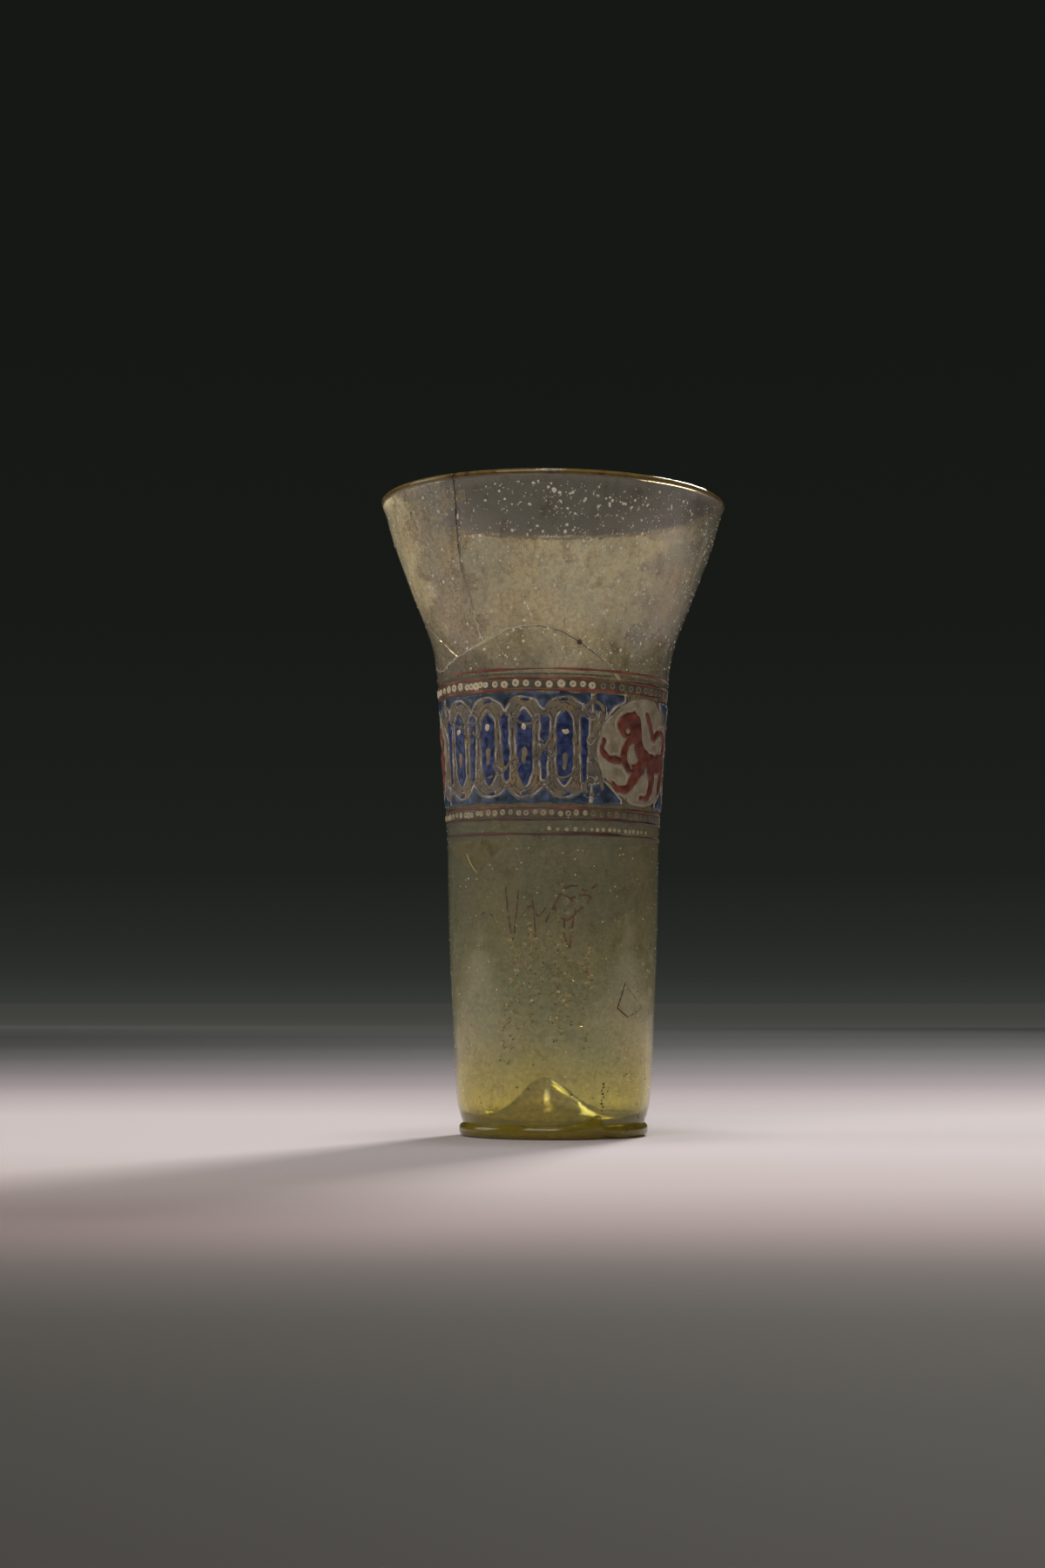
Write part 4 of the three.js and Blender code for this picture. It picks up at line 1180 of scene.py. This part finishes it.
# Kind of field, what draws it, first seed, half its width, and its reach down and up
FIELD_KINDS = (("slot", slot_field, 200, 2.4, 10.6, 10.9), ("panel", panel_field, 300, 3.6, 11.8, 11.8))
BORDER_EDGE, PENDANT_DROP = 14.3, 3.5


def border_field(name, side, seed):
    """Strip along the top or bottom of a stretch, with its pendants and the fields in its corners."""
    slots, panels = bay_places(name)
    edge = FRIEZE_MIDDLE + side * BORDER_EDGE
    inner = 13.4 if side > 0 else 13.1
    half = (slots[1] - slots[0]) / 2
    reach = (PENDANT_DROP ** 2 + half ** 2) / (2 * PENDANT_DROP)
    arches = [disc_field((s, FRIEZE_MIDDLE + side * (inner - reach)), reach) for s in panels]
    cusp = FRIEZE_MIDDLE + side * (inner - PENDANT_DROP)
    shapes = [without(box_field(slots[0] - 1.5, slots[-1] + 1.5, edge, cusp), *arches)]
    for middle, way in zip(stretch_ends(name), (1, -1)):
        near, far = middle + way * 8, middle + way * 16.6
        low, high = FRIEZE_MIDDLE + side * 5.7, FRIEZE_MIDDLE + side * 9.8
        shapes.append(outline_field([(near, edge), (far, edge), (far, high), (near, low)]))
    return shaken(clear_of_roundels(union(*shapes), name, 0.9), seed, 5.0, 0.2)


def brush_contour(field, offset, half_width, seed):
    """A line drawn round a field, thick and thin as the brush was loaded."""
    load = waver(seed, 6.0)
    return lambda s, z: np.abs(field(s, z) - offset) - half_width * (1 + 0.45 * load(s, z))


def broken_contour(field, offset, half_width, seed, bare):
    """A drawing line along a field's edge that stops and starts, and is rubbed away in places."""
    load = waver(seed, 3.2)
    return lambda s, z: np.maximum(
        np.abs(field(s, z) - offset) - half_width * (1 + 0.3 * load(s, z)), (load(s, z) - bare) * 0.5)


def lay_strap(piece, strap, area, cell, heights, edge, line):
    """One strap: gilding over the blue, edged in white, with a drawn line along it. The heights are those
    of the three, and edge and line the offset, half width and seed of the last two."""
    piece.lay(strap, area, cell, heights[0], heights[3], uneven=0.2)
    piece.lay(brush_contour(strap, *edge), area, cell, heights[1], 0.15, slot=1)
    piece.lay(broken_contour(strap, *line, 0.4), area, cell * 0.8, heights[2], 0.12, slot=2)


class BEAKER_OT_frieze(bpy.types.Operator):
    """Gilt straps with blue enamel fields between them, white contours and red-brown drawing"""

    bl_idname = "beaker.frieze"
    bl_label = "Frieze"

    def execute(self, context):
        relief = millimetres(context.scene.beaker_sizes.blue_relief)
        for number, name in enumerate(BAYS):
            cell = (0.24, 0.32)[number]
            self.gild(name)
            shapes = []
            for places, (kind, draw, seed, wide, down, up) in zip(bay_places(name), FIELD_KINDS):
                for index, s in enumerate(places):
                    area = (s - wide, s + wide), (FRIEZE_MIDDLE - down, FRIEZE_MIDDLE + up)
                    shapes.append((draw(s, seed + 40 * number + index), area))
                    panel = s if kind == "panel" else None
                    self.lay_blue(kind, "%s_%d" % (name, index + 1), "blue", shapes[-1], relief, cell, panel)
            first, last = stretch_ends(name)
            for side, word in ((1, "top"), (-1, "bottom")):
                reach = sorted((FRIEZE_MIDDLE + side * 5.0, FRIEZE_MIDDLE + side * 14.6))
                field = border_field(name, side, 400 + number * 10 + side)
                shapes.append((field, ((first + 6, last - 6), tuple(reach))))
                self.lay_blue("border", "%s_%s" % (word, name), "blue_border", shapes[-1], relief, cell)
            self.draw_contours(name, shapes, cell)
            self.lay_spandrels(name, cell)
            self.lay_scrolls(name, cell)
            self.lay_knots(name, cell)
        return {"FINISHED"}

    def gild(self, name):
        """The gilt ground of a stretch, out to its roundels."""
        first, last = stretch_ends(name)
        sheet = clear_of_roundels(box_field(first + 9.6, last - 9.6, 87.4, 114.6), name, 0.3)
        area = (first + 9, last - 9), (86.9, 115.2)
        ground = Parts()
        ground.lay(shaken(sheet, 90, 6, 0.08), area, 0.5, 0.12, 0.3, lift=0.03, uneven=0.2)
        ground.build("gilt_straps_" + name, "gilding", "gilt_strapwork_" + name)

    def lay_blue(self, kind, tail, finish, shape, relief, cell, panel=None):
        """One blue field in its place, and the drops on it where it is a panel."""
        node = "blue_%s_%s" % (kind, tail)
        piece = Parts()
        piece.lay(*shape, cell, relief, 0.5, uneven=0.16, seed=len(node))
        if panel is not None:
            self.dot_panel(piece, panel, relief)
        piece.build("%s_enamel_%s" % (kind, tail), finish + " bead gilding", node)

    def dot_panel(self, piece, s, relief):
        """Cream drops on the blue of a panel, one round and one long."""
        rise = np.random.default_rng(int(abs(s) * 10)).uniform(-1, 1)
        upper = FRIEZE_MIDDLE + 4.6 + rise
        lower = FRIEZE_MIDDLE - 3.0 + rise
        lift = relief * 0.7
        drop = shaken(disc_field((s, upper), 0.85), 31, 2.0, 0.16)
        piece.lay(drop, area_round(s, upper, 1.6, 1.6), 0.22, 0.22, 0.4, slot=1, lift=lift)
        drop = stroke_field([(s - 0.1, lower - 1.6), (s + 0.2, lower + 1.4)], [0.62, 0.85])
        drop = shaken(drop, 32, 2.5, 0.12)
        piece.lay(drop, area_round(s, lower, 1.8, 3.2), 0.22, 0.18, 0.4, slot=2, lift=lift)

    def draw_contours(self, name, shapes, cell):
        """White round each field, then red-brown drawing inside the straps, and an arch over each head."""
        white = Parts()
        drawn = Parts()
        for index, (field, ((s0, s1), (z0, z1))) in enumerate(shapes):
            area = (s0 - 1.2, s1 + 1.2), (max(z0 - 2.4, 87.0), min(z1 + 2.4, 115.1))
            contour = brush_contour(field, 0.3, 0.27, 500 + index)
            white.lay(contour, area, cell, 0.26, 0.2, uneven=0.2, seed=index)
            line = broken_contour(field, 0.9, 0.25, 600 + index, 0.5)
            arch = broken_contour(field, 1.85, 0.24, 700 + index, 0.4)
            ends = lambda s, z, arch=arch: np.maximum(arch(s, z), 7.4 - np.abs(z - FRIEZE_MIDDLE))
            drawn.lay(union(line, ends), area, cell * 0.8, 0.22, 0.15)
        white.build("white_contours_" + name, "contour")
        drawn.build("drawing_lines_" + name, "outline")

    def lay_spandrels(self, name, cell):
        """Small blue drops over and under the heads of the panels, each with its white edge and a curl."""
        slots, panels = bay_places(name)
        piece = Parts()
        for index, s in enumerate(panels):
            for side in (1, -1):
                source = np.random.default_rng(900 + index * 2 + side)
                middle = FRIEZE_MIDDLE + side * source.uniform(11.9, 12.3)
                aside = s + source.uniform(-0.5, 0.5)
                drop = stroke_field([(aside - 0.9, middle), (aside + 0.8, middle + 0.3)], [0.4, 0.6])
                drop = shaken(drop, 33, 2, 0.1)
                area = area_round(s, middle, 3.2, 1.7)
                piece.lay(drop, area, cell, 0.26, 0.3)
                piece.lay(brush_contour(drop, 0.22, 0.17, 940 + index), area, cell, 0.24, 0.15, slot=1)
        for index, s in enumerate(slots[:-1]):
            middle = FRIEZE_MIDDLE + (-1) ** index * 9.9
            curl = [(s + 1.9 + r * math.cos(t), middle + r * math.sin(t))
                    for r, t in zip(np.linspace(0.25, 1.0, 14), np.linspace(0.5, 6.4, 14))]
            area = (s + 0.3, s + 3.6), (middle - 1.7, middle + 1.7)
            piece.lay(stroke_field(curl, 0.15), area, cell * 0.8, 0.22, 0.12, slot=2)
        piece.build("spandrels_" + name, "blue contour outline")

    def lay_scrolls(self, name, cell):
        """A curled strap of gilding beside each roundel, edged in white and drawn in red-brown."""
        piece = Parts()
        for number, (end, way) in enumerate(zip(stretch_ends(name), (1, -1))):
            for side in (1, -1):
                s, z = end + way * 17.2, FRIEZE_MIDDLE + side * 9.6
                curl = [(s - way * r * math.cos(t), z + side * r * math.sin(t))
                        for r, t in zip(np.linspace(3.1, 1.1, 30), np.linspace(0, 4.9, 30))]
                tail = [(end + way * x, FRIEZE_MIDDLE + side * y) for x, y in ((17.6, 2.0), (15.2, 6.0))]
                route = np.concatenate([rounded_route(tail + curl[:1], 10), curl])
                strap = shaken(stroke_field(route, 0.72), 60 + number, 3, 0.12)
                area = (s - 4.6, s + 4.6), sorted((z - side * 9.2, z + side * 4.0))
                lay_strap(piece, strap, area, cell, (0.36, 0.4, 0.44, 0.3), (0.22, 0.2, 66 + number),
                          (-0.4, 0.18, 70 + number))
        piece.build("scrolls_" + name, "gilding contour outline")

    def lay_knots(self, name, cell):
        """Looped straps tied over the inner slots, and a crescent on each panel, high and low in turn."""
        slots, panels = bay_places(name)
        piece = Parts()
        for number, s in enumerate(slots[1:-1]):
            middle = FRIEZE_MIDDLE + (4.4, -4.6, -0.6)[number % 3]
            wide, tall = (3.4, 1.7) if number % 2 else (2.7, 2.3)
            lean = (0.35, -0.5, 0.2)[number % 3]
            knot = [(s + wide * math.sin(t), middle + tall * math.sin(2 * t + lean) + 0.5 * math.sin(t))
                    for t in np.linspace(0, 2 * math.pi, 33)]
            self.tie(piece, knot, 0.5, 1100 + number, cell)
        for number, s in enumerate(panels):
            way = 1 if number % 2 else -1
            top = FRIEZE_MIDDLE + (-7.2 if number % 2 else 6.6)
            crescent = [(s + way * x, top + z) for x, z in CRESCENT]
            self.tie(piece, rounded_route(crescent, 24), 0.48, 1150 + number, cell)
        piece.build("knots_" + name, "gilding contour outline")

    def tie(self, piece, route, half, seed, cell):
        """A strap of an even width along a route."""
        strap = shaken(stroke_field(route, half), seed, 3, 0.12)
        lay_strap(piece, strap, area_of(route, half + 1), cell, (0.4, 0.44, 0.47, 0.25),
                  (0.18, 0.17, seed + 1), (0.12 - half, 0.17, seed + 2))


CRESCENT = [(-3.3, 1.0), (-1.4, -0.5), (1.0, -0.2), (2.8, 1.5), (3.4, 0.4), (2.6, -0.3)]

# Strokes of the beast, in millimetres from the roundel's middle, with their widths at the start and the end
BEAST_SCALE = np.array([ROUNDEL_REACH, ROUNDEL_RISE]) / 15.76
BEAST_STROKES = [
    ([(-3.2, 9.2), (-2.9, 5), (-2.0, 0.8), (2, -2.4), (7, -2.8), (11, -1.6)], 2.8, 6.4),
    ([(-3.3, 5), (-6.8, 1.6), (-7.4, -2.2), (-5, -5.2), (-1, -5)], 2.0, 3.4),
    ([(-1, -4.4), (-3.8, -8), (-5.8, -10.9), (-9, -11.5), (-11, -10)], 4.2, 1.2),
    ([(3.4, -4), (4.6, -7), (4.3, -10.4), (2.4, -13.2), (-0.6, -13.6)], 4.4, 1.2),
    ([(10.4, -2.4), (11.8, -5.6), (10.2, -8.6), (9.4, -11.2)], 4.6, 1.4),
    ([(11, -1), (13, 3.4), (10.6, 7), (7, 6.2), (4.6, 4.6), (3, 7.2), (0.8, 11)], 2.2, 1.7),
]
PAW_STROKE = ([(-13.9, 2.6), (-14.6, -0.2), (-12.6, -2.6), (-9.4, -3)], 1.3, 2.2)
SHOULDER_SLIT = ([(-3.5, 2.2), (-5.7, 0.4), (-6.2, -2.1), (-4.8, -4.8)], 0.7, 0.9)
HEAD, EAR, EYE_SPOT = (-6.6, 7.3), [(-8.6, 9.2), (-4.4, 12.2), (-2.0, 8.0)], (-6.7, 5.8)


class BEAKER_OT_roundels(bpy.types.Operator):
    """Two roundels with a red beast on each"""

    bl_idname = "beaker.roundels"
    bl_label = "Roundels and beasts"

    def execute(self, context):
        for index, azimuth in enumerate(ROUNDEL_AZIMUTHS):
            self.ground(index + 1, s_of(azimuth))
            self.beast(index + 1, s_of(azimuth))
        return {"FINISHED"}

    def scaled(self, s, points):
        return np.array(points) * BEAST_SCALE + np.array([s, FRIEZE_MIDDLE])

    def stroke(self, s, route, start, end):
        points = self.scaled(s, rounded_route(route, 26))
        return stroke_field(points, np.linspace(start, end, len(points)) / 2 * BEAST_SCALE[1])

    def ground(self, number, s):
        ring = shaken(oval_field(s, 0.12), 800 + number, 6, 0.14)
        area = area_round(s, FRIEZE_MIDDLE, ROUNDEL_REACH + 0.6, ROUNDEL_REACH + 0.6)
        piece = Parts()
        piece.lay(ring, area, 0.4, 0.2, 0.6, uneven=0.12)
        piece.lay(brush_contour(ring, -0.5, 0.26, 810 + number), area, 0.26, 0.3, 0.2, slot=1, uneven=0.2)
        piece.build("roundel_ground_%d" % number, "ground halo", "roundel_%d" % number)

    def beast(self, number, s):
        """The beast's body, its raised paw and the pale edge that was left free round them."""
        strokes = [self.stroke(s, *stroke) for stroke in BEAST_STROKES]
        head = disc_field(self.scaled(s, HEAD), 3.3)
        eye = disc_field(self.scaled(s, EYE_SPOT), 0.72)
        whole = union(*strokes, head, outline_field(self.scaled(s, EAR)))
        field = shaken(without(whole, eye, self.stroke(s, *SHOULDER_SLIT)), 820 + number, 2.6, 0.14)
        area = area_round(s, FRIEZE_MIDDLE, ROUNDEL_REACH - 0.1, ROUNDEL_REACH - 0.1)
        body = Parts()
        body.lay(field, area, 0.26, 0.24, 0.5, lift=0.24, uneven=0.18)
        body.build("red_beast_%d" % number, "red", "beast_%d" % number)
        paw_field = shaken(self.stroke(s, *PAW_STROKE), 830 + number, 2.4, 0.1)
        paw = Parts()
        paw.lay(paw_field, area, 0.26, 0.24, 0.45, lift=0.24, uneven=0.18)
        paw.build("raised_paw_%d" % number, "red", "beast_%d_paw" % number)
        glow = brush_contour(union(field, paw_field), 0.62, 0.3, 840 + number)
        inside = lambda a, b: np.maximum(glow(a, b), oval_field(s, -1.2)(a, b))
        halo = Parts()
        halo.lay(inside, area, 0.26, 0.1, 0.25, lift=0.2)
        halo.build("reserved_edge_%d" % number, "halo")


# Long burial: lime crust, soil in the pits and scratches

def crumb(s, z, radius, relief, seed, inner=False):
    """A small irregular grain on the wall, outside or inside."""
    source = np.random.default_rng(seed)
    turns = source.uniform(0, 1) - full_turn(7)
    reach = radius * source.uniform(0.65, 1.15, 7)
    azimuth = s / R_MIDDLE
    away = wall_radius(azimuth, z)
    way, skin = (-1, -1.22) if inner else (1, 0)
    rings = []
    for share, lift in ((1.0, -0.04), (0.7, relief * 0.75)):
        a = azimuth + way * share * reach * np.cos(turns) / away
        height = z + share * reach * np.sin(turns)
        rings.append(around(a, wall_radius(a, height) + skin + way * lift, height))
    base, tip = (around(azimuth, away + skin + way * lift, z) for lift in (-0.04, relief))
    return domed(rings, base, tip)


class BEAKER_OT_weathering(bpy.types.Operator):
    """Specks of lime crust, soil in the pits, blisters with painted highlights and shade, scratches and
    traces of rubbed gilding
    """

    bl_idname = "beaker.weathering"
    bl_label = "Weathering"

    def execute(self, context):
        self.scatter_lime()
        self.scatter_soil()
        self.raise_blisters()
        self.draw_traces()
        self.mark_damage()
        return {"FINISHED"}

    def scatter_lime(self):
        """Seed and lime grains: everywhere in the flare, thickest at its upper right, and dust below it."""
        pale = Parts()
        for index in range(3200):
            inner = index % 2 == 0
            degrees = rng.uniform(100, 260) if inner else rng.normal(15, 50)
            z = 122 + 45.5 * rng.random() ** 0.85
            size = 0.15 + 0.38 * rng.random() ** 4.5
            pale.add(*crumb(s_of(degrees), z, size, size * 0.2, 1000 + index, inner))
        for index in range(900):
            size = 0.06 + 0.14 * rng.random() ** 2
            pale.add(*crumb(s_of(rng.uniform(-180, 180)), rng.uniform(12, 122), size, 0.1, 2000 + index))
        for degrees, z, size in LIME_BLOB:
            pale.add(*crumb(s_of(degrees), z, size, 0.3, int(z * 10)))
        pale.build("lime_specks", "grit")

    def scatter_soil(self):
        """Brown soil in the pits of the foot, a string of it over the tongue, and a fleck in the flare."""
        brown = Parts()
        for index in range(330):
            z = 5 + 70 * rng.random() ** 2.2
            size = 0.09 + 0.22 * rng.random() ** 3
            brown.add(*crumb(s_of(rng.uniform(-180, 180)), z, size, size * 0.4, 3000 + index))
        for index in range(9):
            s, size = s_of(29.5 + 0.7 * math.sin(index * 1.9)), 0.24 + 0.06 * (index % 3)
            brown.add(*crumb(s, 7.6 + index * 0.85, size, 0.12, 3500 + index))
        brown.add(*crumb(s_of(12.5), 128.2, 0.78, 0.25, 3600))
        brown.build("soil_specks", "soil")

    def raise_blisters(self):
        """Chains of small blisters and dents that run down the lower wall where the gas of the melt rose,
        each with a painted highlight over it and painted shade under it.
        """
        glass = Parts()
        source = np.random.default_rng(77)
        for column, low, high in BLISTER_COLUMNS:
            z = low
            while z < high:
                s = s_of(column + source.normal(0, 2.2))
                width = source.uniform(0.4, 1.0)
                seed = int(z * 1000)
                glass.add(*crumb(s, z, width, source.uniform(0.12, 0.24), seed))
                # A lighter speck over each blister is a painted highlight, and a dark speck under it is
                # painted shade
                for slot, rise in ((1, 0.9), (2, -0.8)):
                    side, size = source.uniform(-0.5, 0.5), source.uniform(0.12, 0.26)
                    glass.add(*crumb(s + side, z + rise * width, size, 0.12, seed + slot), slot=slot)
                z += source.uniform(0.8, 2.2)
        glass.build("blisters", "blister chip soil")

    def draw_traces(self):
        """What is left of gilt drawing under the band."""
        traces = Parts()
        for index, (route, half) in enumerate(TRACE_ROUTES):
            points = rounded_route(wall_places(route), 8 * len(route))
            line = broken_contour(stroke_field(points, 0.02), 0.0, half, 950 + index, 0.7)
            traces.lay(line, area_of(points, 0.8), 0.2, 0.06, 0.1)
        traces.build("gilt_traces", "trace")

    def mark_damage(self):
        """A chip with its sharp edges, a few scratches, and a flake off the surface with a painted highlight
        along its edge.
        """
        edges = Parts()
        for index, route in enumerate(CHIP_ROUTES):
            points = wall_places(route)
            line = shaken(stroke_field(points, 0.17), 970 + index, 1.5, 0.07)
            edges.lay(line, area_of(points, 0.8), 0.18, 0.16, 0.12, slot=index % 2)
        edges.build("chip_edges", "chip soil")
        scratches = Parts()
        for index, route in enumerate(SCRATCH_ROUTES):
            points = rounded_route(wall_places(route), 20)
            line = broken_contour(stroke_field(points, 0.01), 0.0, 0.07, 980 + index, 0.9)
            scratches.lay(line, area_of(points, 0.6), 0.14, 0.04, 0.05)
        scratches.build("scratches", "chip")
        flake = Parts()
        corners = wall_places(FLAKE)
        flake.lay(shaken(outline_field(corners), 990, 2.0, 0.15), area_of(corners, 0.8), 0.25, 0.03, 0.1)
        # The flake's edge, painted as a highlight
        points = rounded_route(wall_places(FLAKE_EDGE), 16)
        flake.lay(stroke_field(points, 0.15), area_of(points, 0.6), 0.12, 0.14, 0.08, slot=1)
        flake.build("flake", "flake glint")


def wall_places(route):
    """Places on the wall from degrees round the beaker and millimetres up."""
    return np.array([(s_of(degrees), z) for degrees, z in route])


# Places of the marks, in degrees round the beaker and millimetres up, with sizes or half widths
LIME_BLOB = ((0.6, 165.2, 0.75), (2.2, 164.6, 0.5), (-1.4, 165.9, 0.45))
BLISTER_COLUMNS = (
    (-27, 20, 36), (-21, 24, 52), (-12, 30, 56), (-8, 38, 50), (2, 26, 60), (7, 30, 66), (19, 24, 50),
)
TRACE_ROUTES = [
    ([(-26, 65), (-24.5, 58), (-22, 51.5), (-20, 58), (-18.5, 64.5)], 0.26),
    ([(-4, 56), (1, 60.5), (5, 64), (11, 65.5), (18, 64), (24, 66)], 0.28),
    ([(1, 60.5), (4, 63), (9, 62), (12, 58.5), (7, 56.5), (2, 58), (1, 60.5)], 0.26),
    ([(6, 56.5), (6, 52.5), (9, 49.5), (9.5, 53), (11, 57)], 0.26),
    ([(12, 58.5), (16, 60), (20, 62.5), (15, 63), (9, 62)], 0.24),
    ([(-16, 58), (-12, 60), (-8, 57.5), (-4, 59.5)], 0.22),
    ([(-11, 61.5), (-10, 57), (-9.5, 52)], 0.2),
    ([(-44, 57.5), (-38, 58.5), (-33, 57)], 0.14),
]
CHIP_ROUTES = [[(43, 40.2), (59, 33.9)], [(43, 40.2), (38, 33.9), (46, 31.6)], [(46, 31.6), (59, 33.9)]]
FLAKE = [(-78, 77.0), (-24, 76.7), (-45, 68.6)]
FLAKE_EDGE = [(-53, 73.8), (-50, 71.4), (-45.2, 68.9)]
SCRATCH_ROUTES = [[(-58, 161.5), (-40, 164.2), (-20, 166.2)], [(5, 134), (6.5, 125)]]


# Panel and registration

OPERATORS = (
    BEAKER_OT_glass, BEAKER_OT_foot_trail, BEAKER_OT_red_lines, BEAKER_OT_bead_bands, BEAKER_OT_frieze,
    BEAKER_OT_roundels, BEAKER_OT_weathering, BEAKER_OT_stage,
)


class VIEW3D_PT_beaker(bpy.types.Panel):
    """Lists the pieces of the beaker"""

    bl_idname = "VIEW3D_PT_beaker"
    bl_label = "Beaker"
    bl_space_type = "VIEW_3D"
    bl_region_type = "UI"
    bl_category = "Beaker"

    def draw(self, context):
        column = self.layout.column()
        for group in (context.scene.beaker_sizes, context.scene.beaker_stage):
            for name in group.__annotations__:
                column.prop(group, name)
        for operator in OPERATORS:
            column.operator(operator.bl_idname)


CLASSES = (BeakerSizes, BeakerStage, *OPERATORS, VIEW3D_PT_beaker)


def register():
    for cls in CLASSES:
        bpy.utils.register_class(cls)
    bpy.types.Scene.beaker_sizes = bpy.props.PointerProperty(type=BeakerSizes)
    bpy.types.Scene.beaker_stage = bpy.props.PointerProperty(type=BeakerStage)


def unregister():
    del bpy.types.Scene.beaker_stage
    del bpy.types.Scene.beaker_sizes
    for cls in reversed(CLASSES):
        bpy.utils.unregister_class(cls)


def main():
    register()
    for operator in OPERATORS:
        getattr(bpy.ops.beaker, operator.bl_idname.split(".")[1])()


if __name__ == "__main__":
    main()
